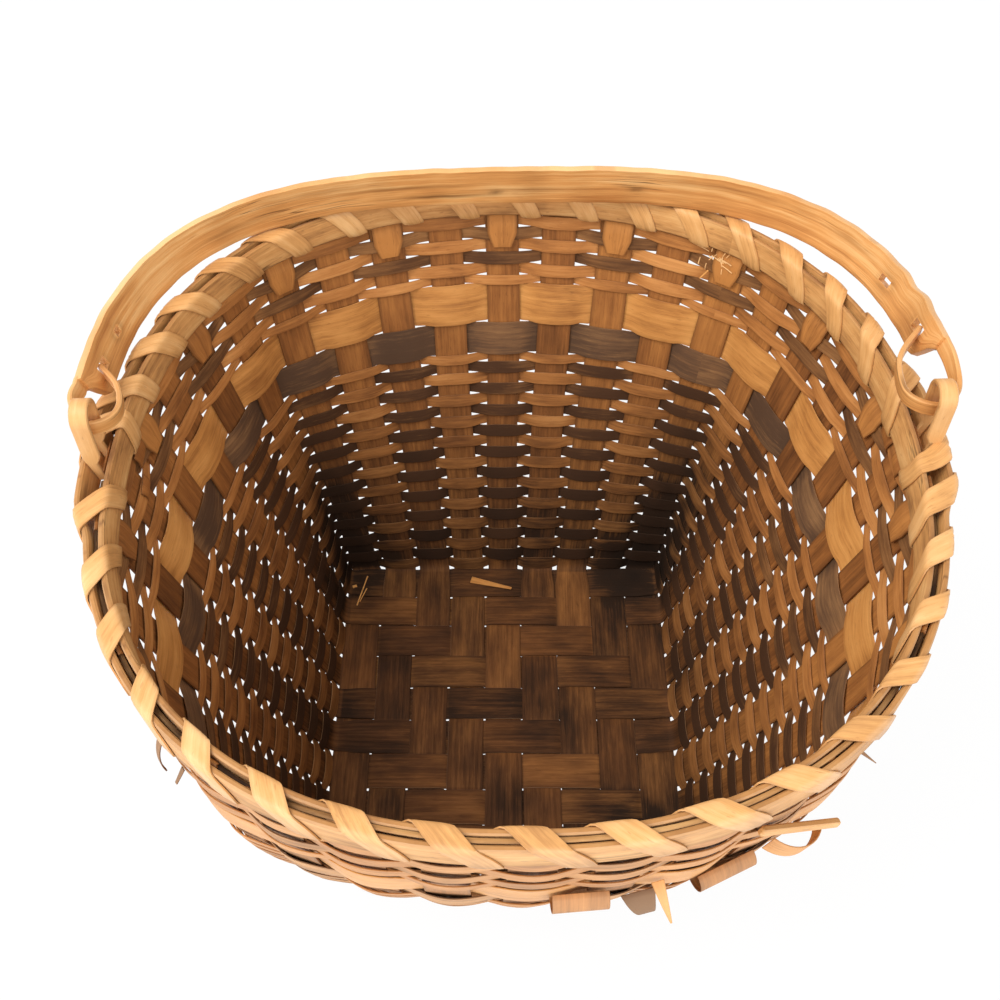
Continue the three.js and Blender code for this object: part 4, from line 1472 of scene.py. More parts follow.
@dataclass
class LooseBits:
    """The curled splint ends, splinters, fibres and straw that age has left on the basket."""

    wall: WallPlan
    looks: "Looks"
    fibre_count: int = 16
    fibre_places: Span = (-0.05, 0.5)
    fibre_heights: Span = (206.0, 216.0)
    fibre_out: float = -3.3
    fibre_lengths: Span = (4.0, 8.0)
    fibre_curl: float = 50.0
    steps: int = 14
    seed: int = 990
    wall_bits: tuple[Bit, ...] = (
        Bit("curl_front_a", 22.6, 171, 2.6, -90, 24, 23, curl=-215, lift=80, tone=-0.4, stain=0.1),
        Bit("curl_front_b", 23.4, 152, 2.4, -70, 17, 15,
            curl=-90, lift=75, end_share=0.4, slot="splint", tone=-4.0),
        Bit("curl_front_c", 23.55, 170, 2.4, -75, 21, 5.5,
            curl=-45, lift=75, end_share=0.15, slot="tan_band", tone=1.2),
        Bit("curl_front_d", 24.54, 159, 2.6, -90, 22, 27, curl=-215, lift=80, tone=-0.8, stain=0.15),
        Bit("curl_front_e", 25.3, 150, 2.4, -15, 36, 11, curl=-110, lift=62, end_share=0.7, tone=2.5),
        Bit("loose_hoop_end", 24.62, 203, 3.6, -14, 38, 5,
            lift=14, end_share=0.8, slot="hoop", tone=0.6, thickness=3.0),
        Bit("splinter_right_a", 26.6, 186, 2.0, -70, 9, 1.6,
            lift=60, end_share=0.2, slot="splint", tone=-1.5),
        Bit("splinter_right_b", 27.4, 205, 2.0, -60, 7, 1.4,
            lift=50, end_share=0.2, slot="splint", tone=-1.5),
        Bit("splinter_left_a", 17.02, 199, 2.2, -80, 24, 5,
            curl=-50, lift=40, end_share=0.3, slot="splint", tone=-1.8),
        Bit("splinter_left_b", 17.3, 183, 2.2, -70, 8, 3, lift=50, end_share=0.6, slot="splint", tone=-1.8),
        Bit("lifted_tail_right_a", 31.45, 216, -2.6, -80, 15, 13,
            curl=-70, lift=10, end_share=0.8, slot="splint", tip_tone=3.0),
        Bit("lifted_tail_right_b", 30.9, 215, -2.6, -80, 13, 12,
            curl=-80, lift=10, end_share=0.8, slot="splint", tip_tone=3.0),
        Bit("lifted_tail_left_a", 12.45, 213, -2.6, -95, 16, 13,
            curl=-70, lift=10, end_share=0.8, slot="splint", tip_tone=3.0),
        Bit("lifted_tail_left_b", 12.85, 202, -2.4, -100, 15, 11,
            curl=-90, lift=15, end_share=0.7, slot="splint", tip_tone=3.0),
        Bit("straw_wall_a", 0.3, 203, -2.9, -60, 8, 0.7, slot="tan_band", tone=3, thickness=0.4),
        Bit("straw_wall_b", 1.25, 187, -1.3, -85, 5, 0.7, slot="tan_band", tone=3, thickness=0.4),
    )
    base_bits: tuple[Bit, ...] = (
        Bit("straw_base_a", -92.2, 69.8, 2.6, 77, 25, 0.8, slot="tan_band", tone=3, thickness=0.5),
        Bit("straw_base_b", -90.6, 72.5, 2.7, 70, 12, 0.6, slot="tan_band", tone=3, thickness=0.4),
        Bit("chip_base", -20.5, 89.5, 2.7, -16, 29, 5.0,
            end_share=0.35, lift=2, slot="tan_band", tone=-0.5),
        Bit("crumb_base", -96.0, 84.0, 2.5, 20, 3, 2, slot="tan_band", tone=1.5),
    )

    def build(self) -> None:
        """Makes and dresses every bit."""
        for bit in self.wall_bits:
            self.make(bit, self.on_wall(bit))
        for bit in self.base_bits:
            self.make(bit, self.on_base(bit))
        rng = np.random.default_rng(self.seed)
        for index in range(self.fibre_count):
            fibre = Bit(
                f"fibre_{index}", rng.uniform(*self.fibre_places), rng.uniform(*self.fibre_heights),
                self.fibre_out, heading=rng.uniform(0, 360), length=rng.uniform(*self.fibre_lengths),
                width=0.5, curl=rng.uniform(-self.fibre_curl, self.fibre_curl), slot="lashing", tone=2.0,
                thickness=0.3,
            )
            self.make(fibre, self.on_wall(fibre))

    def on_wall(self, bit: Bit) -> Seat:
        """The seat of a bit on the wall: heading 0 runs on to the next upright and 90 runs up.

        Args:
            bit: The bit.

        Returns:
            Its seat.
        """
        origin = self.wall.surface(bit.place, bit.height, bit.out)
        along = self.wall.surface(bit.place + 0.05, bit.height, bit.out) - origin
        rise = self.wall.surface(bit.place, bit.height + 1, bit.out) - origin
        along, rise = along / np.linalg.norm(along), rise / np.linalg.norm(rise)
        normal = np.cross(along, rise) * math.copysign(1, bit.out)
        heading = math.radians(bit.heading)
        return Seat(origin, math.cos(heading) * along + math.sin(heading) * rise, normal)

    def on_base(self, bit: Bit) -> Seat:
        """The seat of a bit on the base: place and height are x and y, and out is z."""
        heading = math.radians(bit.heading)
        direction = np.array([math.cos(heading), math.sin(heading), 0.0])
        return Seat(np.array([bit.place, bit.height, bit.out]), direction, np.array([0.0, 0.0, 1.0]))

    def make(self, bit: Bit, seat: Seat) -> None:
        """Makes one bit as a strip that curls away from where it sits.

        Args:
            bit: Its sizes and finish.
            seat: Where it starts.
        """
        share = np.linspace(0, 1, self.steps)
        angle = np.radians(bit.lift + bit.curl * share)
        ways = np.cos(angle)[:, None] * seat.direction + np.sin(angle)[:, None] * seat.normal
        run = np.concatenate([[np.zeros(3)], np.cumsum(ways[:-1], axis=0)])
        path = seat.origin + run * bit.length / self.steps
        side = np.cross(seat.normal, seat.direction)
        half = bit.width / 2 * (1 + (bit.end_share - 1) * share)
        points = path[:, None] + (np.linspace(-1, 1, 3) * half[:, None])[..., None] * side
        strip = Strip(
            bit.name, points, bit.thickness, tone=(bit.tone + bit.tip_tone * share**2)[:, None],
            stain=bit.stain, grain_start=bit.place, edge_bevel=bit.thickness / 4,
        )
        self.looks.dress(strip.build(), BASKET, bit.slot)


# Finishes


def colour(red: int, green: int, blue: int) -> Colour:
    """A screen colour as Blender's linear colour."""
    def linear(value: float) -> float:
        """One channel, from 0 to 1."""
        return value / 12.92 if value <= 0.04045 else ((value + 0.055) / 1.055) ** 2.4
    return (linear(red / 255), linear(green / 255), linear(blue / 255), 1.0)


SOOT = colour(24, 14, 6)
# Pale colour for outward faces: partly weathering, partly painted light for the bright light on the outside
PALE_WEATHER_AND_LIGHT = colour(236, 204, 168)


@dataclass(frozen=True)
class WoodFinish:
    """Colours and grain of one kind of splint."""

    name: str
    light: Colour
    middle: Colour
    dark: Colour
    roughness: float = 0.62
    grain_along: float = 26.0
    grain_across: float = 620.0
    tone_strength: float = 0.16
    contrast: float = 1.0
    shine: float = 0.2
    bump: float = 0.35
    bump_depth: float = 0.0004
    # Painted shade along the strip's edges, where it meets or passes under its neighbours
    edge_shade: float = 0.35
    coat: float = 0.0
    coat_roughness: float = 0.35
    outer_stain: float = 1.0
    cracks: float = 0.3
    dirt: Colour = colour(46, 28, 14)


@dataclass(frozen=True)
class Blot:
    """One black stain: where it lies in the base's own plan, its size, and from where to where it climbs."""

    x: float
    y: float
    size: float
    depth: float
    low: float
    reach: float


@dataclass(frozen=True)
class Dirt:
    """Where grime and stains have gathered, together with painted shade low inside the basket, from 0 for
    clean to 1 for black.
    """

    blots: tuple[Blot, ...] = (
        Blot(-96, 97, 24, 0.75, 4, 130), Blot(-88, 95, 16, 0.3, -2, 20), Blot(96, 96, 26, 0.85, 4, 155),
        Blot(80, 92, 18, 0.8, -2, 30), Blot(80, -90, 25, 1.0, -2, 60), Blot(20, 98, 12, 0.3, 4, 70),
        Blot(-60, -30, 18, 0.2, -2, 20), Blot(30, -5, 16, 0.25, -2, 20), Blot(98, 10, 18, 0.35, 4, 60),
        Blot(-98, -20, 20, 0.3, 4, 90), Blot(10, -62, 14, 0.25, -2, 20), Blot(-99, 60, 16, 0.35, 4, 80),
    )
    blot_edge: float = 2.0
    blot_fades_from: float = 0.4
    blots_on_wall: float = 0.85
    blot_level: float = 0.8
    blot_mottle: float = 0.25
    mottle_waves: tuple[float, float, float] = (0.31, 0.27, 0.13)
    # Grime together with painted shade low inside the basket, lighter on the sides and higher at the back
    low_grime_and_shade: float = 0.74
    sides_lighter: float = 0.13
    sides_blend: Span = (-25.0, 30.0)
    grime_fades: Span = (-25.0, 150.0)
    back_grime_and_shade: float = 0.16
    back_starts: Span = (60.0, 110.0)
    back_fades: Span = (120.0, 190.0)
    base_grime: float = 0.77
    base_ripple: float = 0.06
    ripple_waves: Span = (0.11, 0.07)
    base_ends: Span = (3.0, 14.0)
    upright_grime: float = 0.1
    rim_grime: float = 0.05
    # Darker low on the hoops and the lashing
    rim_low_dark: float = 0.22
    rim_fades: Span = (217.0, 225.0)
    foot_half: float = 99.0
    mouth_half: float = 187.0
    mouth_height: float = 230.0

    def blotted(self, points: Array) -> Array:
        """Black stains in three corners and small ones along the edges of the base, drawn up the wall.

        Args:
            points: Points in millimetres.

        Returns:
            From 0 for clean to 1 for black.
        """
        height = points[..., 2]
        opened = (self.mouth_half - self.foot_half) * height / self.mouth_height
        shrink = self.foot_half / (self.foot_half + opened)
        total = np.zeros(points.shape[:-1])
        for blot in self.blots:
            away = np.hypot(points[..., 0] * shrink - blot.x, points[..., 1] * shrink - blot.y)
            begun = ease(height, blot.low - self.blot_edge, blot.low + self.blot_edge)
            within = begun * (1 - ease(height, blot.reach * self.blot_fades_from, blot.reach))
            total += blot.depth * np.exp(-(away / blot.size) ** 2) * within
        x, y, up = (points[..., i] * wave for i, wave in enumerate(self.mottle_waves))
        return total * (self.blot_level + self.blot_mottle * np.sin(x + up) * np.cos(y))

    def rising(self, points: Array) -> Array:
        """Grime and painted shade that fade up the wall, reach higher at the back and are thinner on the two
        sides; the painted part stands in for the dim inside of the basket.

        Args:
            points: Points in millimetres.

        Returns:
            From 0 for clean to 1 for black.
        """
        height = points[..., 2]
        back = self.back_grime_and_shade * ease(points[..., 1], *self.back_starts)
        back = back * (1 - ease(height, *self.back_fades))
        sides = ease(np.abs(points[..., 0]) - np.abs(points[..., 1]), *self.sides_blend)
        return (self.low_grime_and_shade - self.sides_lighter * sides) * (1 - ease(height, *self.grime_fades)) + back

    def on_splint(self, points: Array) -> Array:
        """Grime on the splints: heavy on the base; up the walls, grime and painted shade that lessen with
        height.
        """
        base = 1 - ease(points[..., 2], *self.base_ends)
        ripple = self.base_ripple * np.sin(points[..., :2] @ np.array(self.ripple_waves))
        upright = self.rising(points) + self.upright_grime
        return base * (self.base_grime + ripple) + (1 - base) * upright + self.blotted(points)

    def on_wall(self, points: Array) -> Array:
        """Grime and painted shade on the weavers, more near the base, and in the stained corners."""
        return self.rising(points) + self.blots_on_wall * self.blotted(points)

    def on_rim(self, points: Array) -> Array:
        """Darker low on the hoops and the lashing, and a little grime all over."""
        return self.rim_low_dark * (1 - ease(points[..., 2], *self.rim_fades)) + self.rim_grime


class Group(Enum):
    """Shared shader node groups, by name."""

    GRAIN = "splint_grain"
    AGED = "aged_wood"


class NodeTree:
    """Adds and links shader nodes in one tree."""

    def __init__(self, tree: bpy.types.NodeTree) -> None:
        """Keeps the tree and clears it."""
        self.tree = tree
        tree.nodes.clear()

    def add(self, kind: str, **values: object) -> bpy.types.Node:
        """Adds a node and sets its properties."""
        node = self.tree.nodes.new(kind)
        for name, value in values.items():
            setattr(node, name, value)
        return node

    def link(self, source: Socket, target: Socket) -> None:
        """Joins two sockets."""
        self.tree.links.new(source, target)

    def feed(self, value: object, socket: Socket) -> None:
        """Links a socket, or sets a plain number or colour on the target."""
        if isinstance(value, Socket):
            self.link(value, socket)
        else:
            socket.default_value = value

    def feed_all(self, node: bpy.types.Node, *values: object, **named: object) -> bpy.types.Node:
        """Feeds a node's first inputs in their order, and others by name, a low line being a space."""
        for value, socket in zip(values, node.inputs):
            self.feed(value, socket)
        for name, value in named.items():
            self.feed(value, node.inputs[name.replace("_", " ")])
        return node

    def maths(self, operation: str, *values: object, clamp: bool = False) -> Socket:
        """A Math node's result."""
        node = self.add("ShaderNodeMath", operation=operation, use_clamp=clamp)
        return self.feed_all(node, *values).outputs[0]

    def vectors(self, operation: str, *values: object) -> bpy.types.Node:
        """A Vector Math node."""
        return self.feed_all(self.add("ShaderNodeVectorMath", operation=operation), *values)

    def times(self, first: object, second: object) -> Socket:
        """The product of two values."""
        return self.maths("MULTIPLY", first, second)

    def mix(self, factor: object, first: object, second: object, blend: str = "MIX") -> Socket:
        """A colour mix's result."""
        node = self.add("ShaderNodeMix", data_type="RGBA", blend_type=blend)
        self.feed(factor, node.inputs[0])
        self.feed(first, node.inputs[6])
        self.feed(second, node.inputs[7])
        return node.outputs[2]

    def span(
        self, value: object, low: object, high: object, new_low: object = 0.0, new_high: object = 1.0
    ) -> Socket:
        """Maps a range of values to another, held inside it."""
        return self.feed_all(
            self.add("ShaderNodeMapRange"), value, low, high, new_low, new_high
        ).outputs[0]

    def noise(
        self, vector: object, detail: float, roughness: float = 0.55, distortion: float = 0.0
    ) -> Socket:
        """A noise texture's value."""
        return self.feed_all(
            self.add("ShaderNodeTexNoise"),
            Vector=vector, Scale=1.0, Detail=detail, Roughness=roughness, Distortion=distortion,
        ).outputs["Fac"]

    def stretch(self, vector: object, along: object, across: object) -> Socket:
        """The vector with its first axis times along and its second times across."""
        scale = self.feed_all(self.add("ShaderNodeCombineXYZ"), along, across)
        return self.vectors("MULTIPLY", vector, scale.outputs[0]).outputs[0]


def new_group(
    group: Group, inputs: dict[str, str], outputs: dict[str, str]
) -> tuple[NodeTree, bpy.types.Node, bpy.types.Node]:
    """Starts a shader node group.

    Args:
        group: Which group.
        inputs: Socket types by name.
        outputs: Socket types by name.

    Returns:
        The group's tree with its input and output nodes.
    """
    tree = bpy.data.node_groups.new(group.value, "ShaderNodeTree")
    for name, kind in inputs.items():
        tree.interface.new_socket(name=name, in_out="INPUT", socket_type=kind)
    for name, kind in outputs.items():
        tree.interface.new_socket(name=name, in_out="OUTPUT", socket_type=kind)
    nodes = NodeTree(tree)
    return nodes, nodes.add("NodeGroupInput"), nodes.add("NodeGroupOutput")


@dataclass(frozen=True)
class GrainLayer:
    """One output of the grain group: noise stretched along the wood, and the range of it that is kept."""

    name: str
    along: float
    across: float
    detail: float
    roughness: float
    distortion: float
    low: float
    high: float


GRAIN_LAYERS = (
    GrainLayer("Streaks", 1.0, 1.0, 4.0, 0.6, 0.25, 0.28, 0.72),
    GrainLayer("Fibres", 5.0, 4.2, 3.0, 0.65, 0.0, 0.25, 0.75),
    GrainLayer("Blotches", 1.3, 0.16, 3.0, 0.5, 0.0, 0.3, 0.7),
    GrainLayer("Pores", 7.0, 1.8, 1.0, 0.5, 0.0, 0.66, 0.74),
)
CRACK_LAYER = GrainLayer("Cracks", 0.9, 0.85, 1.0, 0.4, 0.15, 0.0, 0.02)
CRACK_SPREAD = (9.0, 60.0)
CRACK_RANGE = (0.58, 0.66)


def build_grain() -> bpy.types.NodeTree:
    """The grain of split wood: long streaks, fine fibres, soft blotches, dark pores and a few cracks."""
    nodes, given, made = new_group(
        Group.GRAIN,
        {"Vector": "NodeSocketVector", "Along": "NodeSocketFloat", "Across": "NodeSocketFloat"},
        {layer.name: "NodeSocketFloat" for layer in (*GRAIN_LAYERS, CRACK_LAYER)},
    )
    take = given.outputs

    def stretched_noise(layer: GrainLayer) -> Socket:
        """A layer's noise before its range is cut."""
        along = nodes.times(take["Along"], layer.along)
        across = nodes.times(take["Across"], layer.across)
        vector = nodes.stretch(take["Vector"], along, across)
        return nodes.noise(vector, layer.detail, layer.roughness, layer.distortion)

    for layer in GRAIN_LAYERS:
        nodes.link(nodes.span(stretched_noise(layer), layer.low, layer.high), made.inputs[layer.name])
    # A crack runs where its noise passes its middle, and only in a few places
    from_middle = nodes.maths("ABSOLUTE", nodes.maths("SUBTRACT", stretched_noise(CRACK_LAYER), 0.5))
    line = nodes.span(from_middle, CRACK_LAYER.low, CRACK_LAYER.high, 1.0, 0.0)
    rare = nodes.noise(nodes.stretch(take["Vector"], *CRACK_SPREAD), 1.0)
    nodes.link(nodes.times(line, nodes.span(rare, *CRACK_RANGE)), made.inputs["Cracks"])
    return nodes.tree


@dataclass(frozen=True)
class Ageing:
    """How grain, painted shade along the edges, paler outward faces (weathering and painted light) and dirt
    mix in every finish. A fourfold value maps a range to another.
    """

    streaks: float = 0.36
    fibres: float = 0.2
    blotches: float = 0.44
    dark_to_middle: Span = (0.12, 0.5)
    middle_to_light: Span = (0.5, 0.92)
    pores: float = 0.35
    edge: Span = (0.78, 1.0)
    edge_patches: Colour = (0.0, 0.8, 0.5, 1.0)
    dirt_patches: Colour = (0.3, 1.5, 1.12, 0.8)
    clean_fibres: Colour = (0.6, 1.0, 0.0, 0.24)
    # Paling of outward faces: partly weathering, partly painted light
    pale_weather_and_light: Colour = (0.2, 0.6, 0.0, 0.2)
    turned_out: Span = (0.2, 0.55)
    soot: Colour = (0.9, 1.7, 0.0, 0.8)
    smoother_streaks: float = -0.14
    rougher_dirt: float = 0.12
    streak_relief: float = 0.5
    fibre_relief: float = 0.4
    pore_relief: float = 0.35


def build_aged(grain: bpy.types.NodeTree, age: Ageing) -> bpy.types.NodeTree:
    """Aged wood from three colours, the strip's own tone, and the dirt on it.

    Args:
        grain: The grain group.
        age: The shares and ranges of the mix.

    Returns:
        The group.
    """
    colours = ("Light", "Middle", "Dark", "Dirt")
    numbers = (
        "Along", "Across", "Tone", "Tone Strength", "Stain", "Edge", "Edge Dirt", "Contrast", "Roughness",
        "Crack Depth", "Outer Stain", "Outside",
    )
    nodes, given, made = new_group(
        Group.AGED,
        {"Vector": "NodeSocketVector", **dict.fromkeys(colours, "NodeSocketColor")}
        | dict.fromkeys(numbers, "NodeSocketFloat"),
        {"Color": "NodeSocketColor", "Roughness": "NodeSocketFloat", "Height": "NodeSocketFloat"},
    )
    take = given.outputs
    wood = nodes.add("ShaderNodeGroup", node_tree=grain)
    nodes.feed_all(wood, take["Vector"], take["Along"], take["Across"])
    streaks, fibres, blotches, pores, lines = (
        wood.outputs[name] for name in ("Streaks", "Fibres", "Blotches", "Pores", "Cracks")
    )
    mixed = nodes.maths("ADD", nodes.times(streaks, age.streaks), nodes.times(fibres, age.fibres))
    mixed = nodes.maths("ADD", mixed, nodes.times(blotches, age.blotches))
    mixed = nodes.maths("MULTIPLY_ADD", nodes.maths("SUBTRACT", mixed, 0.5), take["Contrast"], 0.5)
    level = nodes.maths("MULTIPLY_ADD", take["Tone"], take["Tone Strength"], mixed, clamp=True)
    darker = nodes.mix(nodes.span(level, *age.dark_to_middle), take["Dark"], take["Middle"])
    body = nodes.mix(nodes.span(level, *age.middle_to_light), darker, take["Light"])
    body = nodes.mix(nodes.times(pores, age.pores), body, take["Dark"])
    cracked = nodes.times(lines, take["Crack Depth"])
    body = nodes.mix(cracked, body, take["Dirt"])
    # Painted shade along each strip's edges, where it meets or passes under its neighbours, made patchy by
    # the blotches
    rim = nodes.times(nodes.span(take["Edge"], *age.edge), take["Edge Dirt"])
    rim = nodes.times(rim, nodes.span(blotches, *age.edge_patches))
    body = nodes.mix(rim, body, take["Dark"])
    patchy = nodes.span(nodes.maths("ADD", streaks, blotches), *age.dirt_patches)
    patchy = nodes.maths("SUBTRACT", patchy, nodes.span(fibres, *age.clean_fibres))
    # Outward faces are mixed towards pale: partly weathering, partly painted light that stands in for the
    # bright, whitish light on the outside of the wall
    body = nodes.mix(nodes.span(take["Outside"], *age.pale_weather_and_light), body, PALE_WEATHER_AND_LIGHT)
    kept = nodes.span(take["Outside"], *age.turned_out, 1.0, take["Outer Stain"])
    # Stain carries real grime, stains and dye together with painted shade, and darkens towards the dirt
    # colour
    grime = nodes.maths("MULTIPLY", nodes.times(take["Stain"], kept), patchy, clamp=True)
    deep = nodes.times(nodes.span(take["Stain"], *age.soot), kept)
    soiled = nodes.mix(grime, body, take["Dirt"])
    nodes.link(nodes.mix(deep, soiled, SOOT), made.inputs["Color"])
    off_middle = nodes.maths("SUBTRACT", streaks, 0.5)
    rough = nodes.maths("MULTIPLY_ADD", off_middle, age.smoother_streaks, take["Roughness"])
    rough = nodes.maths("MULTIPLY_ADD", grime, age.rougher_dirt, rough, clamp=True)
    nodes.link(rough, made.inputs["Roughness"])
    height = nodes.times(fibres, age.fibre_relief)
    height = nodes.maths("ADD", nodes.times(streaks, age.streak_relief), height)
    height = nodes.maths("SUBTRACT", height, nodes.times(pores, age.pore_relief))
    nodes.link(nodes.maths("SUBTRACT", height, cracked), made.inputs["Height"])
    return nodes.tree


@dataclass
class Looks:
    """Every finish of the basket, made into materials on first use."""

    dirt: Dirt = field(default_factory=Dirt)

    def __post_init__(self) -> None:
        """Builds the shared groups and lists the finishes."""
        self.aged = build_aged(build_grain(), Ageing())
        finishes = (
            WoodFinish(
                "splint", colour(190, 126, 64), colour(148, 92, 45), colour(92, 54, 26), 0.66,
                tone_strength=0.17, contrast=0.72, edge_shade=0.7, outer_stain=0.25, cracks=0.4,
            ),
            WoodFinish(
                "light_weaver", colour(210, 148, 86), colour(176, 115, 60), colour(116, 70, 36), 0.6,
                tone_strength=0.14, contrast=0.8, outer_stain=0.2,
            ),
            WoodFinish(
                "dark_weaver", colour(214, 154, 94), colour(182, 124, 70), colour(116, 74, 40), 0.62,
                tone_strength=0.15, contrast=0.9, outer_stain=0.08, dirt=colour(80, 51, 30),
            ),
            WoodFinish(
                "dark_band", colour(214, 158, 100), colour(184, 130, 78), colour(116, 76, 44), 0.6,
                grain_across=520.0, tone_strength=0.15, outer_stain=0.1, dirt=colour(92, 66, 47),
            ),
            WoodFinish(
                "tan_band", colour(224, 162, 92), colour(196, 134, 70), colour(140, 86, 42), 0.52,
                grain_across=520.0, tone_strength=0.13, contrast=0.85, outer_stain=0.3, coat=0.05,
            ),
            WoodFinish(
                "hoop", colour(230, 182, 120), colour(202, 146, 86), colour(122, 78, 44), 0.6,
                grain_across=420.0, contrast=0.85, edge_shade=0.5, cracks=0.6,
            ),
            WoodFinish(
                "lashing", colour(238, 192, 134), colour(214, 158, 96), colour(156, 104, 58), 0.42,
                grain_across=480.0, contrast=0.75, coat=0.12, cracks=0.15,
            ),
            WoodFinish(
                "handle", colour(240, 194, 132), colour(212, 150, 86), colour(166, 104, 52), 0.42,
                grain_along=9.0, grain_across=420.0, tone_strength=0.13, contrast=1.1, edge_shade=0.2,
                coat=0.15, cracks=0.8,
            ),
        )
        self.materials = {finish.name: self.material(finish) for finish in finishes}

    def dress(self, piece: bpy.types.Object, body: str, slot: str, *nodes: str) -> None:
        """Gives a piece its finish and ties it to the frame.

        Args:
            piece: The finished piece.
            body: The body that it moves with.
            slot: The record's material slot, which has the finish's name.
            *nodes: The CAD nodes that the piece stands for.
        """
        piece.data.materials.clear()
        piece.data.materials.append(self.materials[slot])
        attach(piece, body)
        if nodes:
            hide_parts(*nodes)
        LOG.info("%s: %d faces", piece.name, len(piece.data.polygons))

    def facing_out(self, nodes: NodeTree, place: bpy.types.Node) -> Socket:
        """How far a face looks away from the basket's middle line: 1 outward, -1 inward."""
        radial = nodes.vectors("MULTIPLY", place.outputs["Object"], (1.0, 1.0, 0.0))
        unit = nodes.vectors("NORMALIZE", radial.outputs[0])
        return nodes.vectors("DOT_PRODUCT", unit.outputs[0], place.outputs["Normal"]).outputs["Value"]

    def material(self, finish: WoodFinish) -> bpy.types.Material:
        """Makes one wood material.

        Args:
            finish: Its colours and grain.

        Returns:
            The material.
        """
        made = bpy.data.materials.new(finish.name)
        made.use_nodes = True
        nodes = NodeTree(made.node_tree)
        end = nodes.add("ShaderNodeOutputMaterial")
        shader = nodes.add("ShaderNodeBsdfPrincipled")
        nodes.link(shader.outputs[0], end.inputs["Surface"])
        wood = nodes.add("ShaderNodeGroup", node_tree=self.aged)
        place = nodes.add("ShaderNodeTexCoord")
        # The strip's own tone, stain and edge values; stain holds grime, stains and some painted shade, and
        # edge drives the painted shade along the edges
        for name in ("tone", "stain", "edge"):
            painted = nodes.add("ShaderNodeAttribute", attribute_name=name)
            nodes.link(painted.outputs["Fac"], wood.inputs[name.capitalize()])
        nodes.feed_all(
            wood, Vector=place.outputs["UV"], Outside=self.facing_out(nodes, place),
            Light=finish.light, Middle=finish.middle, Dark=finish.dark, Dirt=finish.dirt,
            Along=finish.grain_along, Across=finish.grain_across, Contrast=finish.contrast,
            Tone_Strength=finish.tone_strength, Edge_Dirt=finish.edge_shade, Roughness=finish.roughness,
            Crack_Depth=finish.cracks, Outer_Stain=finish.outer_stain,
        )
        bump = nodes.add("ShaderNodeBump")
        nodes.feed_all(
            bump, Strength=finish.bump, Distance=finish.bump_depth, Height=wood.outputs["Height"]
        )
        nodes.feed_all(
            shader, Base_Color=wood.outputs["Color"], Roughness=wood.outputs["Roughness"],
            Normal=bump.outputs[0], Specular_IOR_Level=finish.shine, Coat_Weight=finish.coat,
            Coat_Roughness=finish.coat_roughness,
        )
        return made


# Studio


@dataclass(frozen=True)
class Lamp:
    """One soft square lamp: where it stands and points, its width and its power in watts."""

    name: str
    place: tuple[float, float, float]
    aim: tuple[float, float, float]
    size: float
    power: float


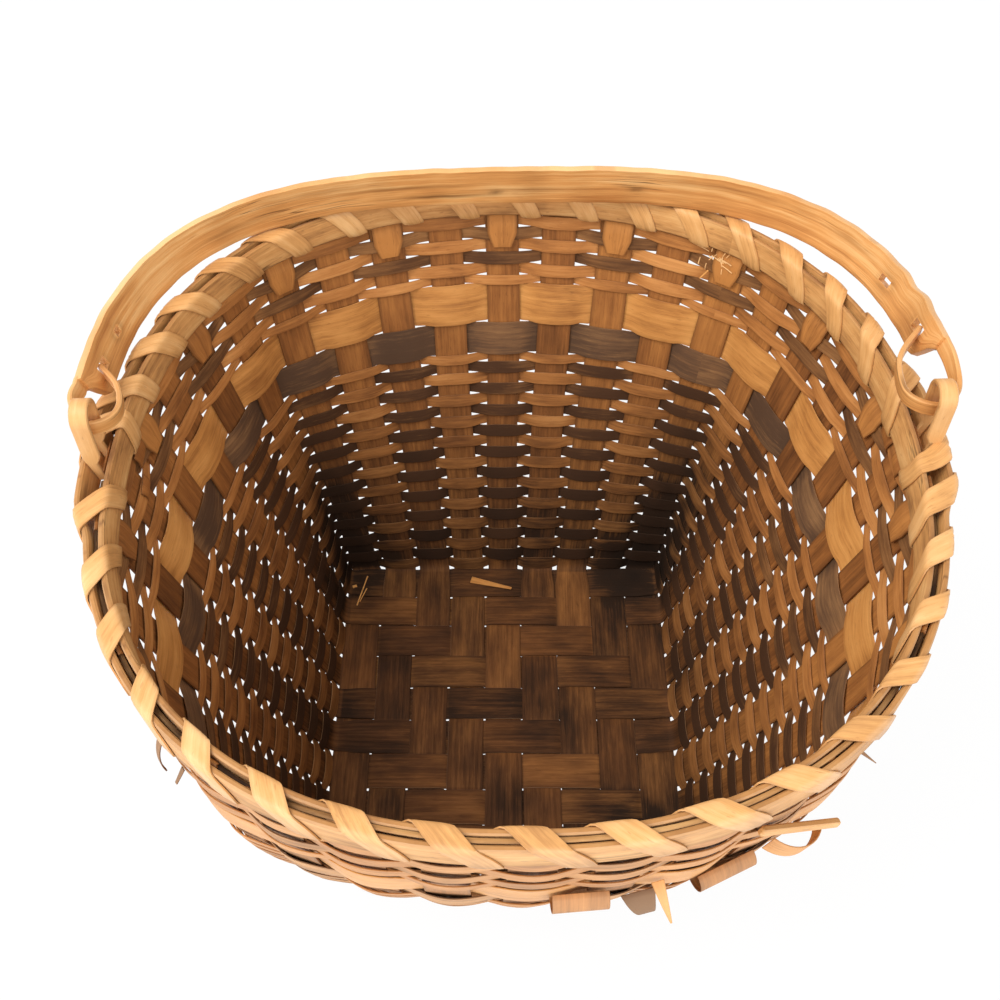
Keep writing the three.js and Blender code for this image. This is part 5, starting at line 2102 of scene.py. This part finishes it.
@dataclass
class Studio:
    """Camera, soft light, pale floor and white surroundings."""

    lens: float = 44.03
    camera_place: tuple[float, float, float] = (-0.002, -0.367, 0.642)
    camera_pitch: float = 39.26
    sensor_width: float = 36.0
    nearest_seen: float = 0.01
    floor_size: float = 12.0
    floor_shade: float = 0.9
    world_light: float = 0.88
    floor_glow: float = 0.94
    lamps: tuple[Lamp, ...] = (
        Lamp("key_light", (-1.15, -0.5, 2.1), (0.0, 0.05, 0.1), 1.6, 45.0),
        Lamp("fill_light", (0.5, -2.0, 1.1), (0.0, 0.0, 0.1), 1.5, 23.0),
    )

    def build(self) -> None:
        """Makes the camera first, then the light and the floor."""
        self.camera()
        self.world()
        for lamp in self.lamps:
            self.hang(lamp)
        self.floor()

    def camera(self) -> None:
        """The camera at the photograph's angle."""
        data = bpy.data.cameras.new("camera")
        data.lens = self.lens
        data.sensor_width = self.sensor_width
        data.clip_start = self.nearest_seen
        camera = bpy.data.objects.new("camera", data)
        camera.location = self.camera_place
        camera.rotation_euler = (math.radians(self.camera_pitch), 0.0, 0.0)
        bpy.context.scene.collection.objects.link(camera)
        bpy.context.scene.camera = camera

    def hang(self, lamp: Lamp) -> None:
        """Adds one lamp.

        Args:
            lamp: Its place, aim, size and power.
        """
        data = bpy.data.lights.new(lamp.name, "AREA")
        data.size = lamp.size
        data.energy = lamp.power
        hung = bpy.data.objects.new(lamp.name, data)
        hung.location = lamp.place
        hung.rotation_euler = (Vector(lamp.aim) - Vector(lamp.place)).to_track_quat("-Z", "Y").to_euler()
        bpy.context.scene.collection.objects.link(hung)

    def white_rays(self, nodes: NodeTree) -> Socket:
        """1 for camera, glossy and transmission rays, 0 for the rest."""
        path = nodes.add("ShaderNodeLightPath")
        seen = nodes.maths("MAXIMUM", path.outputs["Is Camera Ray"], path.outputs["Is Glossy Ray"])
        return nodes.maths("MAXIMUM", seen, path.outputs["Is Transmission Ray"])

    def world(self) -> None:
        """White where it is seen, and a plain even light on the basket."""
        world = bpy.data.worlds.new("surroundings")
        world.use_nodes = True
        bpy.context.scene.world = world
        nodes = NodeTree(world.node_tree)
        end = nodes.add("ShaderNodeOutputWorld")
        seen, light = (
            nodes.feed_all(nodes.add("ShaderNodeBackground"), WHITE, strength)
            for strength in (1.0, self.world_light)
        )
        self.show(nodes, end, self.white_rays(nodes), light, seen)

    def show(
        self, nodes: NodeTree, end: bpy.types.Node, share: Socket, first: bpy.types.Node,
        second: bpy.types.Node,
    ) -> None:
        """Mixes two shaders into an output, the second as far as the share goes."""
        choice = nodes.add("ShaderNodeMixShader")
        nodes.feed_all(choice, share, first.outputs[0], second.outputs[0])
        nodes.link(choice.outputs[0], end.inputs[0])

    def floor(self) -> None:
        """A pale floor that keeps the basket's soft shadow."""
        deselect()
        bpy.ops.mesh.primitive_plane_add(size=self.floor_size, location=(0, 0, 0))
        floor = bpy.context.object
        floor.name = "studio_floor"
        made = bpy.data.materials.new("studio_floor")
        made.use_nodes = True
        nodes = NodeTree(made.node_tree)
        end = nodes.add("ShaderNodeOutputMaterial")
        plain = nodes.feed_all(nodes.add("ShaderNodeBsdfDiffuse"), (*[self.floor_shade] * 3, 1.0))
        glow = nodes.feed_all(nodes.add("ShaderNodeEmission"), WHITE, 1.0)
        self.show(nodes, end, nodes.times(self.white_rays(nodes), self.floor_glow), plain, glow)
        floor.data.materials.append(made)


def main() -> None:
    """Builds the studio, then every piece in order."""
    logging.basicConfig(level=logging.INFO, format="%(name)s: %(message)s")
    bpy.context.scene.view_settings.view_transform = "Standard"
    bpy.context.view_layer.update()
    Studio().build()
    wall = WallPlan()
    looks = Looks()
    for maker in (Splints, Weavers, Rim, Handle, LooseBits):
        maker(wall, looks).build()


if __name__ == "__main__":
    main()
